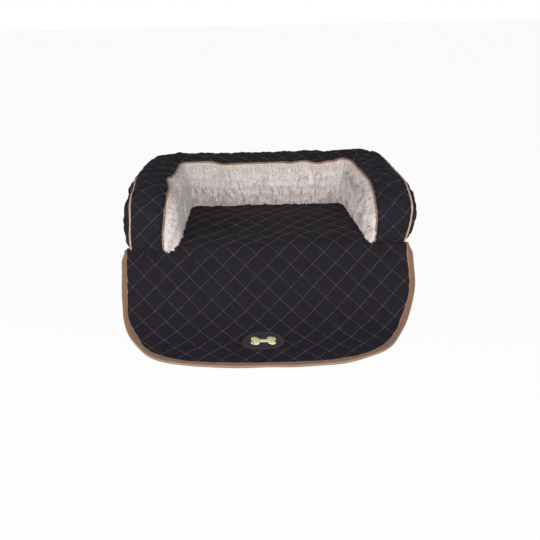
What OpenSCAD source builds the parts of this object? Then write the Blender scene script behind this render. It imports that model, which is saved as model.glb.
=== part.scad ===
// A dog bed shaped like a small sofa: a U of stuffed bolsters on a deep box base, with a quilted
// flap that is sewn to the seat's front edge and lies down over the floor in front.
// The origin is the middle of the underside, X runs along the seat, Y to the back and Z up.

/* [Base] */
// Width of the base
base_w = 710; // [640:10:800]
// Depth of the base, from the front wall to the back wall
base_d = 451; // [420:1:520]
// Height of the seat above the floor, at its front edge
seat_h = 162; // [130:1:200]
// Thickness of the quilted seat pad where it is sewn in
seat_pad_t = 12; // [10:1:20]
// Rise of the seat pad's middle above its edge
seat_crown = 6; // [2:1:12]
// Radius of the base's back corners in plan
base_corner_r = 60; // [40:1:80]
// Thickness of the base's walls
wall_t = 4; // [3:0.5:6]
// Thickness of the non-slip cloth underneath
grip_t = 2; // [1:0.5:3]
// Thickness of the inner cloth over the base's filling
deck_t = 2; // [1:0.5:3]

/* [Bolsters] */
// Half the width between the arms, at the inner piping of their fronts
inner_half_w = 271; // [250:1:290]
// How much the inner piping closes in from the arms' fronts to the back corners
inner_taper = 24; // [10:1:30]
// Depth of the seat, from its front edge to the back bolster's inner piping
seat_d = 360; // [330:1:370]
// Half the width across the outer piping
outer_half_w = 354; // [350:1:370]
// Depth of the bed, from the arms' fronts to the back's outer piping
bolster_d = 454; // [445:1:470]
// Radius of the inner piping's corners in plan
inner_corner_r = 45; // [35:1:60]
// Radius of the outer piping's corners in plan
outer_corner_r = 60; // [45:1:75]
// Height of the arms' piping above the seat, behind the rounded shoulder
arm_rise = 153; // [140:1:180]
// Height of the back's piping above the seat
back_rise = 128; // [115:1:140]
// Height above the seat at which the arm's front starts to round over
shoulder_rise = 100; // [80:1:115]
// Length of the rounded shoulder, from the arm's front backwards
shoulder_d = 67; // [50:1:80]
// Crown of the top strips between the two pipings
top_crown = 15; // [8:1:20]
// Crown of the arms' front strips between the two pipings
front_crown = 9; // [5:1:12]
// How far the outer panels bulge past the outer piping
side_bulge = 18; // [8:1:20]
// How far the fleece bulges in over the seat
fleece_bulge = 17; // [8:1:20]
// How far the seat is narrower than the inner piping, at each arm's front
fleece_lean = 22; // [14:1:26]
// Thickness of the quilted cover
cover_t = 4; // [3:0.5:6]
// Radius of the piping
piping_r = 2.8; // [2:0.1:3.4]

/* [Quilting] */
// Width of one diamond
diamond_w = 56.4; // [50:0.2:64]
// Height of one diamond
diamond_h = 60; // [54:1:68]
// How far a diamond's middle stands above its stitches
puff = 4.5; // [2:0.5:6]

/* [Flap] */
// Half the width of the flap's padded cloth, inside the binding
flap_half_w = 349; // [320:1:360]
// Length of the padded cloth, from the hem to the binding
flap_l = 370; // [340:1:400]
// Width of the rounded corners' curve, from the flap's side inwards
corner_w = 270; // [200:5:300]
// Length of the rounded corners' curve, from the flap's end upwards
corner_l = 248; // [180:4:280]
// Angle between the hanging part of the flap and a plumb line
slope_a = 47; // [40:1:55]
// Radius of the bend where the flap meets the floor
knee_r = 60; // [40:1:80]
// Thickness of the flap's padded cloth
flap_t = 4; // [3:0.5:5]
// Thickness of the flap's lining
lining_t = 3; // [2:0.5:4]
// Width of the binding
binding_w = 15.5; // [10:0.5:20]
// How far the binding stands above the cloth
binding_rise = 1; // [0.5:0.5:2]
// Radius of the hem that the flap folds on
hem_r = 5; // [4:0.5:6]
// Depth of the gathers below the arms
gather_depth = 5; // [2:1:7]
// Width of the patch
patch_w = 94; // [70:1:110]
// Height of the patch
patch_h = 70; // [50:1:76]
// Thickness of the patch
patch_t = 1.5; // [1:0.5:2.5]
// How far the patch's middle lies to the left of the flap's middle
patch_left = 18; // [0:1:40]
// Distance from the bend at the floor to the patch
patch_gap = 1.2; // [1:0.2:10]
// Length of the bone on the patch
bone_l = 58; // [40:1:60]

/* [Zip] */
// Length of the zip's chain
zip_l = 600; // [500:20:620]
// Height of the zip's middle above the floor
zip_h = 40; // [30:1:60]
// Width of the zip's tape
tape_w = 28; // [24:1:32]
// Thickness of the tape
tape_t = 1; // [0.8:0.1:1.5]
// Width across the closed teeth
chain_w = 7; // [6:0.5:8]
// Thickness of the teeth
chain_t = 2.4; // [2:0.2:3]
// Distance from one tooth to the next
tooth_pitch = 5; // [4:0.5:6]
// Length of the slider
slider_l = 16; // [12:1:20]
// Length of the pull, from its pin to its free end
pull_l = 30; // [24:1:36]
// Radius of the pin that carries the pull
pull_pin_r = 0.8; // [0.6:0.1:1]

/* [Hidden] */

// Gap between pieces that are sewn or laid against each other
seam_gap = 0.4;
// Distance from the piping's middle to the edges of the cloths that it joins
edge_gap = piping_r + 2 * seam_gap;
// The standing panels and the fleece are as thick as the piping's radius
panel_t = piping_r;
// Gap between pieces that move on each other
running_gap = 0.3;
// Overrun of a cut past the face it opens
cut_over = 1;

// Planes of the base
front_y = -base_d / 2;
back_y = base_d / 2;
deck_z = seat_h - seat_pad_t;

// Stations along half of a bolster, from an arm's front to the middle of the back
shoulder_n = 3;
straight_n = 8;
corner_n = 2;
back_n = 8;
mitre_i = shoulder_n + straight_n + corner_n;
middle_i = mitre_i + corner_n + back_n;

// The fleece leans less at the back than at the arms' fronts
back_lean_share = 0.6;
// A plan line is [half width at the front, taper towards the back, back line's y, corner radius,
// how far it draws in behind an arm's rounded front]
inner_line = [inner_half_w, inner_taper, front_y + seat_d, inner_corner_r, 0];
outer_line = [outer_half_w, 0, front_y + bolster_d, outer_corner_r, 0];
seat_line = [
    inner_half_w, inner_taper - fleece_lean * (1 - back_lean_share),
    front_y + seat_d - fleece_lean * back_lean_share, inner_corner_r, fleece_lean
];
foot_line = [base_w / 2, 0, back_y, base_corner_r, 0];

// Half width of a plan line at y
function side_x(line, y) =
    line[0] - line[1] * (y - front_y) / (line[2] - front_y)
    - line[4] * sqrt(1 - pow(max(0, 1 - (y - front_y) / shoulder_d), 2));
// y where a plan line leaves its straight side
function corner_y(line) = line[2] - line[3];
// Station i of a plan line and its outward direction: [x, y, outward x, outward y]
function station(line, i) =
    i <= shoulder_n ? let (y = front_y + shoulder_d * (1 - cos(90 * i / shoulder_n)))
        [side_x(line, y), y, 1, 0]
    : i <= shoulder_n + straight_n ? let (
        start = front_y + shoulder_d,
        y = start + (corner_y(line) - start) * (i - shoulder_n) / straight_n
    ) [side_x(line, y), y, 1, 0]
    : i <= mitre_i + corner_n ? let (
        turn = 90 * (i - shoulder_n - straight_n) / (2 * corner_n),
        y = corner_y(line) + line[3] * sin(turn)
    ) [side_x(line, y) - line[3] * (1 - cos(turn)), y, cos(turn), sin(turn)]
    : let (left = (middle_i - i) / back_n)
        [(side_x(line, line[2]) - line[3]) * left, line[2], 0, 1];
// A station of the back, counted from the right mitre through the middle to the left one
function back_station(line, k) =
    k <= middle_i - mitre_i ? station(line, mitre_i + k)
    : let (s = station(line, mitre_i + 2 * (middle_i - mitre_i) - k)) [-s[0], s[1], -s[2], s[3]];
back_stations = 2 * (middle_i - mitre_i);

// Height of the piping above the seat at station i
function rise(i) =
    i <= shoulder_n ? shoulder_rise + (arm_rise - shoulder_rise) * sin(90 * i / shoulder_n)
    : i <= mitre_i ? arm_rise + (back_rise - arm_rise) * (i - shoulder_n) / (mitre_i - shoulder_n)
    : back_rise;

// The point or size at a share of the way from p to q
function between(p, q, share) = p + (q - p) * share;
// Zero at both ends of a span and one in its middle
function arch(share) = sin(180 * max(0, min(1, share)));
// A fuller arch, as stuffing pushes a cloth out
fullness_share = 0.7;
function full_arch(share) = pow(arch(share), fullness_share);
// One in a diamond's middle and zero where its stitches cross
function diamond(i, j) = (i + j) % 2 == 0 ? 0 : 1;

// A closed solid between two grids of points of the same size, rows of columns
module quilt_solid(top, under) {
    rows = len(top);
    cols = len(top[0]);
    n = rows * cols;
    points = concat([for (row = top) each row], [for (row = under) each row]);
    function id(r, c) = r * cols + c;
    rim = concat(
        [for (c = [0:cols - 2]) id(0, c)],
        [for (r = [0:rows - 2]) id(r, cols - 1)],
        [for (c = [cols - 1:-1:1]) id(rows - 1, c)],
        [for (r = [rows - 1:-1:1]) id(r, 0)]
    );
    polyhedron(
        points = points,
        faces = concat(
            [for (r = [0:rows - 2], c = [0:cols - 2], half = [0, 1])
                let (a = id(r, c), b = id(r, c + 1), d = id(r + 1, c), e = id(r + 1, c + 1))
                diamond(r, c) == 0
                    ? (half == 0 ? [a, e, b] : [a, d, e])
                    : (half == 0 ? [a, d, b] : [b, d, e])],
            [for (r = [0:rows - 2], c = [0:cols - 2], half = [0, 1])
                let (a = n + id(r, c), b = n + id(r, c + 1), d = n + id(r + 1, c), e = n + id(r + 1, c + 1))
                diamond(r, c) == 0
                    ? (half == 0 ? [a, b, e] : [a, e, d])
                    : (half == 0 ? [a, b, d] : [b, e, d])],
            [for (k = [0:len(rim) - 1], half = [0, 1])
                let (a = rim[k], b = rim[(k + 1) % len(rim)])
                half == 0 ? [a, b, n + b] : [a, n + b, n + a]]
        )
    );
}

// A closed solid through rings of points of the same size
module lofted(rings) {
    n = len(rings[0]);
    last = (len(rings) - 1) * n;
    polyhedron(
        points = [for (ring = rings) each ring],
        faces = concat(
            [for (k = [1:n - 2]) [0, k + 1, k]],
            [for (r = [0:len(rings) - 2], k = [0:n - 1], half = [0, 1])
                let (a = r * n + k, b = r * n + (k + 1) % n)
                half == 0 ? [a, b, b + n] : [a, b + n, a + n]],
            [for (k = [1:n - 2]) [last, last + k, last + k + 1]]
        )
    );
}

// A tube of radius r along points, whose sections stand on the outward directions given for them
module piped(path, outs, r) {
    sides = 6;
    n = len(path);
    lofted([for (i = [0:n - 1])
        let (
            along = path[min(i + 1, n - 1)] - path[max(i - 1, 0)],
            t = along / norm(along),
            u = outs[i],
            v = cross(t, u)
        )
        [for (k = [0:sides - 1]) path[i] + r * (cos(360 * k / sides) * u + sin(360 * k / sides) * v)]]);
}

// A rectangle with two round corners at the back
module plan(half_w, y0, y1, r) {
    translate([-half_w, y0])
        square([2 * half_w, y1 - r - y0]);
    translate([-half_w + r, y0])
        square([2 * (half_w - r), y1 - y0]);
    for (side = [-1, 1])
        translate([side * (half_w - r), y1 - r])
            circle(r, $fn = 64);
}

quilt_black = [0.15, 0.14, 0.16];
fleece_grey = [0.8, 0.77, 0.75];
piping_tan = [0.62, 0.5, 0.42];
binding_brown = [0.55, 0.42, 0.35];
lining_black = [0.1, 0.1, 0.11];
foam_white = [0.92, 0.91, 0.88];
thread_cream = [0.87, 0.83, 0.62];
zip_metal = [0.5, 0.5, 0.52];

module grip_base() {
    color(lining_black)
        linear_extrude(grip_t)
            plan(base_w / 2, front_y, back_y, base_corner_r);
}

module base_filling() {
    inset = wall_t + seam_gap;
    color(foam_white)
        translate([0, 0, grip_t])
            linear_extrude(deck_z - deck_t - grip_t)
                plan(base_w / 2 - inset, front_y + inset, back_y - inset, base_corner_r - inset);
}

module deck_panel() {
    inset = wall_t + seam_gap;
    color(lining_black)
        translate([0, 0, deck_z - deck_t])
            linear_extrude(deck_t)
                plan(base_w / 2 - inset, front_y + inset, back_y - inset, base_corner_r - inset);
}

module base_boxing() {
    inside_y = front_y + wall_t - cut_over;
    color(quilt_black)
        translate([0, 0, grip_t])
            linear_extrude(deck_z - grip_t)
                difference() {
                    plan(base_w / 2, front_y + wall_t, back_y, base_corner_r);
                    plan(base_w / 2 - wall_t, inside_y, back_y - wall_t, base_corner_r - wall_t);
                }
}

module front_panel() {
    color(quilt_black)
        translate([-base_w / 2, front_y, grip_t])
            cube([base_w, wall_t, deck_z - grip_t]);
}

// Half diamonds from the seat's middle to its side
seat_half_cols = round(2 * seat_line[0] / diamond_w);

module seat_panel() {
    rows = mitre_i + corner_n;
    grid = [for (j = [0:rows])
        let (s = station(seat_line, j))
        [for (i = [-seat_half_cols:seat_half_cols])
            let (
                across = i / seat_half_cols,
                inside = j > 0 && j < rows && abs(i) < seat_half_cols ? 1 : 0
            )
            [(s[0] - seam_gap) * across, s[1] + (j == 0 ? seam_gap : j == rows ? -seam_gap : 0),
                seat_h + inside * (seat_crown * full_arch(j / rows) * full_arch((across + 1) / 2)
                    + puff * diamond(i + seat_half_cols, j))]]];
    color(quilt_black)
        quilt_solid(grid, [for (row = grid) [for (p = row) [p[0], p[1], deck_z]]]);
}

// Rows of half diamonds from an arm's foot to where its shoulder starts
front_n = 5;
// Height at which an arm's front comes free of the flap's hem
free_z = seat_h + 2 * seam_gap;
strip_n = 3;
panel_n = 5;

// One row of an arm's strip: [inner edge, outer edge, direction the stuffing pushes it, crown]
function strip_row(t) =
    let (
        i = max(0, t - front_n),
        a = station(inner_line, i),
        b = station(outer_line, i),
        z = t == 0 ? deck_z
            : t < front_n ? between(free_z, seat_h + shoulder_rise, (t - 1) / (front_n - 1))
            : seat_h + rise(i),
        turn = i < shoulder_n ? 90 * i / shoulder_n : 90,
        // The strip stops short of the piping at both edges
        e = edge_gap * [a[2], a[3]],
        f = edge_gap * [b[2], b[3]],
        // The stuffing is held flat at the arm's foot
        foot = sin(90 * max(0, min(1, (t - 1) * 2 / (front_n - 1))))
    )
    [[a[0] + e[0], a[1] + e[1], z], [b[0] - f[0], b[1] - f[1], z],
        [0, -cos(turn), sin(turn)], (front_crown + (top_crown - front_crown) * turn / 90) * foot];

module arm_cover() {
    rows = front_n + mitre_i;
    top = [for (t = [0:rows])
        let (r = strip_row(t))
        [for (w = [0:strip_n])
            between(r[0], r[1], w / strip_n) + r[2] * (r[3] * full_arch(w / strip_n)
                + (t > 1 && t < rows && w > 0 && w < strip_n ? puff * diamond(t, w) : 0))]];
    under = [for (t = [0:rows])
        let (r = strip_row(t))
        [for (w = [0:strip_n])
            between(r[0], r[1], w / strip_n) + r[2] * (r[3] * full_arch(w / strip_n) - cover_t)]];
    color(quilt_black)
        quilt_solid(top, under);
}

module left_arm_cover() {
    mirror([1, 0, 0])
        arm_cover();
}

module right_arm_cover() {
    arm_cover();
}

back_strip_n = 4;

module back_cover() {
    z = seat_h + back_rise;
    grid = [for (k = [0:back_stations])
        let (
            a = back_station(inner_line, k),
            b = back_station(outer_line, k),
            p = [a[0] + edge_gap * a[2], a[1] + edge_gap * a[3], z],
            q = [b[0] - edge_gap * b[2], b[1] - edge_gap * b[3], z]
        )
        [for (w = [0:back_strip_n]) between(p, q, w / back_strip_n)
            + [0, 0, top_crown * full_arch(w / back_strip_n)]]];
    function soft(k, w) =
        k > 0 && k < back_stations && w > 0 && w < back_strip_n ? puff * diamond(k, w) : 0;
    color(quilt_black)
        quilt_solid(
            [for (k = [0:back_stations]) [for (w = [0:back_strip_n]) grid[k][w] + [0, 0, soft(k, w)]]],
            [for (row = grid) [for (p = row) p - [0, 0, cover_t]]]
        );
}

// Points of a standing panel between a foot line and a top line at one station. It stands upright to
// z_free and is pushed along the station's outward direction by bulge and soft above, less depth.
function panel_column(foot, head, z_free, z_head, bulge, depth, n, soft) =
    let (out = [head[2], head[3]], p = [foot[0], foot[1]], q = [head[0], head[1]])
    concat(
        [concat(p - out * depth, [deck_z])],
        [for (w = [0:n])
            let (
                share = w / n,
                push = bulge * full_arch(share) + (w > 0 && w < n ? soft[w] : 0) - depth
            )
            concat(between(p, q, share) + out * push, [between(z_free, z_head, share)])]
    );

// Fades a bulge in behind an arm's front edge
function front_fade(i) = i >= shoulder_n ? 1 : sin(90 * i / shoulder_n);

function side_face(stations, heights, bulged) = [for (i = [0:len(stations) - 1])
    let (
        s = stations[i],
        last = i == len(stations) - 1,
        fade = bulged ? s[2] : 0,
        depth = bulged ? 0 : panel_t
    )
    panel_column(s[0], s[1], deck_z + seam_gap, heights[i], side_bulge * fade, depth, panel_n,
        [for (w = [0:panel_n]) i > 0 && !last && fade > 0 ? puff * diamond(i, w) : 0])];

module standing_panel(stations, heights) {
    color(quilt_black)
        quilt_solid(side_face(stations, heights, true), side_face(stations, heights, false));
}

// Slope of an arm's piping at station i, from 90 at its front to 0 behind the rounded shoulder
function piping_slope(i) =
    let (turn = 90 * i / shoulder_n)
    i >= shoulder_n ? 0 : atan2((arm_rise - shoulder_rise) * cos(turn), shoulder_d * sin(turn));
// The edge of a side panel or a fleece runs along the piping, behind it and below it
function behind_piping(s, i) = [s[0], s[1] + edge_gap * sin(piping_slope(i)), s[2], s[3]];
function piping_foot(i) = seat_h + rise(i) - edge_gap * cos(piping_slope(i));
// The foot of that panel starts as far behind an arm's front
function front_foot(s, i) = i == 0 ? behind_piping(s, i) : s;

module side_panel() {
    standing_panel(
        [for (i = [0:mitre_i]) [
            front_foot(station(foot_line, i), i), behind_piping(station(outer_line, i), i), front_fade(i)
        ]],
        [for (i = [0:mitre_i]) piping_foot(i)]
    );
}

module left_side_panel() {
    mirror([1, 0, 0])
        side_panel();
}

module right_side_panel() {
    side_panel();
}

module back_panel() {
    standing_panel(
        [for (k = [0:back_stations]) [back_station(foot_line, k), back_station(outer_line, k), 1]],
        [for (k = [0:back_stations]) seat_h + back_rise - edge_gap]
    );
}

fleece_n = 4;

function fleece_face(stations, heights, bulged) = [for (i = [0:len(stations) - 1])
    let (s = stations[i])
    panel_column(s[0], s[1], seat_h, heights[i], bulged ? -fleece_bulge * s[2] : 0,
        bulged ? 0 : -panel_t, fleece_n, [for (w = [0:fleece_n]) 0])];

module fleece_panel(stations, heights) {
    color(fleece_grey)
        quilt_solid(fleece_face(stations, heights, false), fleece_face(stations, heights, true));
}

module arm_fleece() {
    fleece_panel(
        [for (i = [0:mitre_i]) [
            front_foot(station(seat_line, i), i), behind_piping(station(inner_line, i), i), front_fade(i)
        ]],
        [for (i = [0:mitre_i]) piping_foot(i)]
    );
}

module left_fleece() {
    mirror([1, 0, 0])
        arm_fleece();
}

module right_fleece() {
    arm_fleece();
}

module back_fleece() {
    fleece_panel(
        [for (k = [0:back_stations]) [back_station(seat_line, k), back_station(inner_line, k), 1]],
        [for (k = [0:back_stations]) seat_h + back_rise - edge_gap]
    );
}

// A ring of stuffing between the fleece, the top strip and the outer panel
function stuffing_ring(seat, inner, outer, foot, z) =
    let (
        skin = edge_gap,
        top = z - cover_t - seam_gap,
        in_foot = [seat[0] + seat[2] * skin, seat[1] + seat[3] * skin],
        in_top = [inner[0] + inner[2] * skin, inner[1] + inner[3] * skin],
        out_top = [outer[0] - outer[2] * skin, outer[1] - outer[3] * skin],
        out_foot = [foot[0] - foot[2] * skin, foot[1] - foot[3] * skin]
    )
    [concat(in_foot, [deck_z]), concat(out_foot, [deck_z]), concat(out_top, [top]),
        concat(between(in_top, out_top, 0.5), [top + top_crown * full_arch(1 / strip_n)]),
        concat(in_top, [top])];

module arm_filling() {
    color(foam_white)
        lofted([for (i = [1:mitre_i]) stuffing_ring(station(seat_line, i), station(inner_line, i),
            station(outer_line, i), station(foot_line, i), seat_h + min(rise(i - 1), rise(i)))]);
}

module left_filling() {
    mirror([1, 0, 0])
        arm_filling();
}

module right_filling() {
    arm_filling();
}

module back_filling() {
    color(foam_white)
        lofted([for (k = [0:back_stations])
            stuffing_ring(back_station(seat_line, k), back_station(inner_line, k),
                back_station(outer_line, k), back_station(foot_line, k), seat_h + back_rise)]);
}

// The whole run of a piping, from the right arm's foot to the left one's
module piping_run(line) {
    half = concat(
        [[line[0], front_y, free_z]],
        [for (i = [0:middle_i]) let (s = station(line, i)) [s[0], s[1], seat_h + rise(i)]]
    );
    outs = concat([[1, 0, 0]], [for (i = [0:middle_i]) let (s = station(line, i)) [s[2], s[3], 0]]);
    last = len(half) - 1;
    color(piping_tan)
        piped(
            concat(half, [for (i = [last - 1:-1:0]) [-half[i][0], half[i][1], half[i][2]]]),
            concat(outs, [for (i = [last - 1:-1:0]) [-outs[i][0], outs[i][1], 0]]),
            piping_r
        );
}

module inner_piping() {
    piping_run(inner_line);
}

module outer_piping() {
    piping_run(outer_line);
}

// The flap hangs from its hem, bends at the floor and lies on it
hem_y = front_y - hem_r - 2 * seam_gap;
hem_z = seat_h - hem_r + seam_gap;
hang_l = (hem_z - lining_t - knee_r * (1 - sin(slope_a))) / cos(slope_a);
knee_l = knee_r * (90 - slope_a) * PI / 180;
flap_start = hem_r + running_gap;

// Direction of the flap's cloth at distance v from the hem, as an angle from a plumb line
function lie(v) = slope_a + (90 - slope_a) * max(0, min(1, (v - hang_l) / knee_l));
// Point of the seam between the flap's two cloths at distance v from the hem: [y, z]
function flap_line(v) =
    let (
        s = min(v, hang_l),
        a = lie(v),
        flat = max(0, v - hang_l - knee_l)
    )
    [hem_y - s * sin(slope_a) - knee_r * (cos(slope_a) - cos(a)) - flat,
        hem_z - s * cos(slope_a) - knee_r * (sin(a) - sin(slope_a))];
// A point of the flap: across, down from the hem, and up from the seam between its cloths
function flap_at(x, v, lift) =
    let (p = flap_line(v), a = lie(v))
    [x, p[0] - cos(a) * lift, p[1] + sin(a) * lift];

flap_cols = floor(flap_half_w / (diamond_w / 2)) + 1;
flap_rows = floor((flap_l - flap_start) / (diamond_h / 2)) + 1;
// Place of column i and row j on a square-cornered flap
function flap_x(i) = sign(i) * min(abs(i) * diamond_w / 2, flap_half_w);
function flap_v(j) = min(flap_start + j * diamond_h / 2, flap_l);
// Pulls a square corner in to a quarter of an ellipse
function rounded_xv(x, v) =
    let (
        p = max(0, abs(x) - (flap_half_w - corner_w)) / corner_w,
        q = max(0, v - (flap_l - corner_l)) / corner_l
    )
    [p == 0 ? x : sign(x) * (flap_half_w - corner_w * (1 - p * sqrt(1 - q * q / 2))),
        q == 0 ? v : flap_l - corner_l * (1 - q * sqrt(1 - p * p / 2))];
// Middle of the patch, across and down the flap
patch_x = -patch_left;
patch_v = hang_l + knee_l + patch_gap + patch_h / 2;
// The cloth lies flat under the patch, and for half a diamond round it
function under_patch(x, v) =
    let (
        p = (x - patch_x) / (patch_w + diamond_w),
        q = (v - patch_v) / (patch_h + diamond_h)
    )
    p * p + q * q < 1 / 4;
// Gathers under the arms, where the flap is held in at the hem: a fold that fades downwards
gather_x = (inner_half_w + outer_half_w) / 2;
function gathers(x, v) =
    let (off = (abs(x) - gather_x) / diamond_w)
    abs(off) > 1 ? 0 : gather_depth * pow(cos(90 * off) * cos(180 * off), 2) * exp(-v / diamond_h);

flap_grid = [for (j = [0:flap_rows]) [for (i = [-flap_cols:flap_cols]) rounded_xv(flap_x(i), flap_v(j))]];

module flap_face() {
    top = [for (j = [0:flap_rows]) [for (i = [-flap_cols:flap_cols])
        let (
            p = flap_grid[j][i + flap_cols],
            inside = j > 0 && j < flap_rows && abs(i) < flap_cols && !under_patch(p[0], p[1]),
            soft = puff * diamond(i + flap_cols, j) + gathers(p[0], p[1])
        )
        flap_at(p[0], p[1], flap_t + (inside ? soft : 0))]];
    under = [for (row = flap_grid) [for (p = row) flap_at(p[0], p[1], 0)]];
    color(quilt_black)
        quilt_solid(top, under);
}

module flap_lining() {
    color(lining_black)
        quilt_solid(
            [for (row = flap_grid) [for (p = row) flap_at(p[0], p[1], 0)]],
            [for (row = flap_grid) [for (p = row) flap_at(p[0], p[1], -lining_t)]]
        );
}

module flap_hem() {
    color(quilt_black)
        translate([-flap_half_w, hem_y, hem_z])
            rotate([0, 90, 0])
                cylinder(r = hem_r, h = 2 * flap_half_w, $fn = 48);
}

// The flap's free edge, from its left hem end round to its right one, with its outward direction
flap_edge = concat(
    [for (j = [0:flap_rows]) [-flap_cols, j]],
    [for (i = [-flap_cols + 1:flap_cols]) [i, flap_rows]],
    [for (j = [flap_rows - 1:-1:0]) [flap_cols, j]]
);
function edge_out(p) =
    let (
        a = max(0, abs(p[0]) - (flap_half_w - corner_w)) / corner_w,
        b = max(0, p[1] - (flap_l - corner_l)) / corner_l,
        g = [a / corner_w * sign(p[0]), b / corner_l]
    )
    g / norm(g);

module flap_binding() {
    color(binding_brown)
        lofted([for (k = flap_edge)
            let (
                edge = flap_grid[k[1]][k[0] + flap_cols],
                p = edge + edge_out(edge) * seam_gap,
                q = edge + edge_out(edge) * binding_w,
                mid = between(p, q, 0.5),
                over = flap_t + binding_rise
            )
            [flap_at(p[0], p[1], -lining_t), flap_at(q[0], q[1], -lining_t), flap_at(q[0], q[1], flap_t),
                flap_at(mid[0], mid[1], over), flap_at(p[0], p[1], over)]]);
}

patch_z = flap_at(patch_x, patch_v, flap_t + seam_gap)[2];

module badge_patch() {
    p = flap_line(patch_v);
    color(lining_black)
        translate([patch_x, p[0], patch_z])
            linear_extrude(patch_t)
                scale([1, patch_h / patch_w])
                    circle(d = patch_w, $fn = 72);
}

// A bone's knobs and shaft, as shares of its length
knob_share = 0.12;
knob_spread_share = 0.1;
shaft_share = 0.15;

module badge_motif() {
    p = flap_line(patch_v);
    knob_r = bone_l * knob_share;
    color(thread_cream)
        translate([patch_x, p[0], patch_z + patch_t])
            linear_extrude(patch_t / 2)
                union() {
                    square([bone_l - 2 * knob_r, bone_l * shaft_share], center = true);
                    for (sx = [-1, 1], sy = [-1, 1])
                        translate([sx * (bone_l / 2 - knob_r), sy * bone_l * knob_spread_share])
                            circle(knob_r, $fn = 40);
                }
}

// The zip lies flat on the back wall, with its thickness along Y
module on_back_wall(depth) {
    translate([0, back_y + depth, zip_h])
        rotate([90, 0, 180])
            children();
}

module zip_tape() {
    margin = chain_w;
    color(lining_black)
        on_back_wall(0)
            translate([-zip_l / 2 - margin, -tape_w / 2, 0])
                cube([zip_l + 2 * margin, tape_w, tape_t]);
}

tooth_n = floor(zip_l / tooth_pitch);
// Depth of the gap between two teeth, as a share of the chain's width
notch_share = 0.2;

module zip_chain() {
    notch = chain_w * notch_share;
    half = chain_w / 2;
    upper = [for (k = [0:tooth_n - 1]) each [
        [k * tooth_pitch, half], [(k + 0.5) * tooth_pitch, half],
        [(k + 0.5) * tooth_pitch, half - notch], [(k + 1) * tooth_pitch, half - notch]
    ]];
    color(zip_metal)
        on_back_wall(tape_t)
            translate([-tooth_n * tooth_pitch / 2, 0, 0])
                linear_extrude(chain_t)
                    polygon(concat(upper, [for (k = [len(upper) - 1:-1:0])
                        [upper[k][0], upper[k][1] - 2 * half + notch]]));
}

module zip_stops() {
    stop_l = tooth_pitch / 2;
    color(zip_metal)
        for (side = [-1, 1])
            on_back_wall(tape_t)
                translate([side * (tooth_n * tooth_pitch / 2 + stop_l / 2) - stop_l / 2, -chain_w / 2, 0])
                    cube([stop_l, chain_w, chain_t]);
}

// The slider straddles the chain: two cheeks and a top plate, with two ears for the pull's pin
cheek_t = 1.4;
plate_t = 1.2;
ear_t = 1.5;
ear_l = 5;
eye_wall = 0.8;
pin_gap = 0.08;
eye_t = 2 * (pull_pin_r + pin_gap + eye_wall);
slider_w = chain_w + 2 * (running_gap + cheek_t);
slider_x = -tooth_n * tooth_pitch / 2 + slider_l / 2 + tooth_pitch;
plate_z = tape_t + chain_t + running_gap;
pin_z = plate_z + plate_t + running_gap + eye_t / 2;
eye_w = slider_w / 2;
pin_l = eye_w + 2 * running_gap + ear_t;

module zip_slider() {
    color(zip_metal)
        on_back_wall(0)
            translate([-slider_x, 0, 0]) {
                translate([-slider_l / 2, -slider_w / 2, plate_z])
                    cube([slider_l, slider_w, plate_t]);
                for (side = [-1, 1]) {
                    cheek_y = side * (slider_w - cheek_t) / 2;
                    ear_y = side * (eye_w / 2 + running_gap + ear_t / 2);
                    translate([-slider_l / 2, cheek_y - cheek_t / 2, tape_t + running_gap])
                        cube([slider_l, cheek_t, plate_z - tape_t]);
                    translate([-ear_l / 2, ear_y - ear_t / 2, plate_z])
                        cube([ear_l, ear_t, pin_z - plate_z + eye_t / 2]);
                }
                translate([0, 0, pin_z])
                    rotate([90, 0, 0])
                        cylinder(r = pull_pin_r, h = pin_l, center = true, $fn = 32);
            }
}

module zip_pull() {
    color(zip_metal)
        on_back_wall(0)
            translate([-slider_x, 0, pin_z])
                difference() {
                    union() {
                        rotate([90, 0, 0])
                            cylinder(d = eye_t, h = eye_w, center = true, $fn = 32);
                        translate([-pull_l, -eye_w / 2, -eye_t / 2])
                            cube([pull_l, eye_w, eye_t / 2]);
                    }
                    rotate([90, 0, 0])
                        cylinder(r = pull_pin_r + pin_gap, h = pin_l, center = true, $fn = 32);
                }
}

grip_base();
base_filling();
base_boxing();
front_panel();
deck_panel();
seat_panel();
left_filling();
back_filling();
right_filling();
left_arm_cover();
back_cover();
right_arm_cover();
left_side_panel();
back_panel();
right_side_panel();
left_fleece();
back_fleece();
right_fleece();
inner_piping();
outer_piping();
flap_hem();
flap_lining();
flap_face();
flap_binding();
badge_patch();
badge_motif();
zip_tape();
zip_chain();
zip_stops();
zip_slider();
zip_pull();
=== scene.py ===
# %% [markdown]
# A dog bed shaped like a small sofa. Foam fills a deep base, fibre fills three bolsters, quilted
# polyester covers the outside, curly fleece lines the inside, and a quilted flap hangs from the seat's
# front edge on to the floor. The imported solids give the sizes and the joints. This lesson dresses them:
# each cloth is a surface over two parameters, worked out with numpy and sewn along its real seams.

# %% Load the frame
import math

import bpy
import numpy as np
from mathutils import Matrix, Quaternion, Vector


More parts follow.
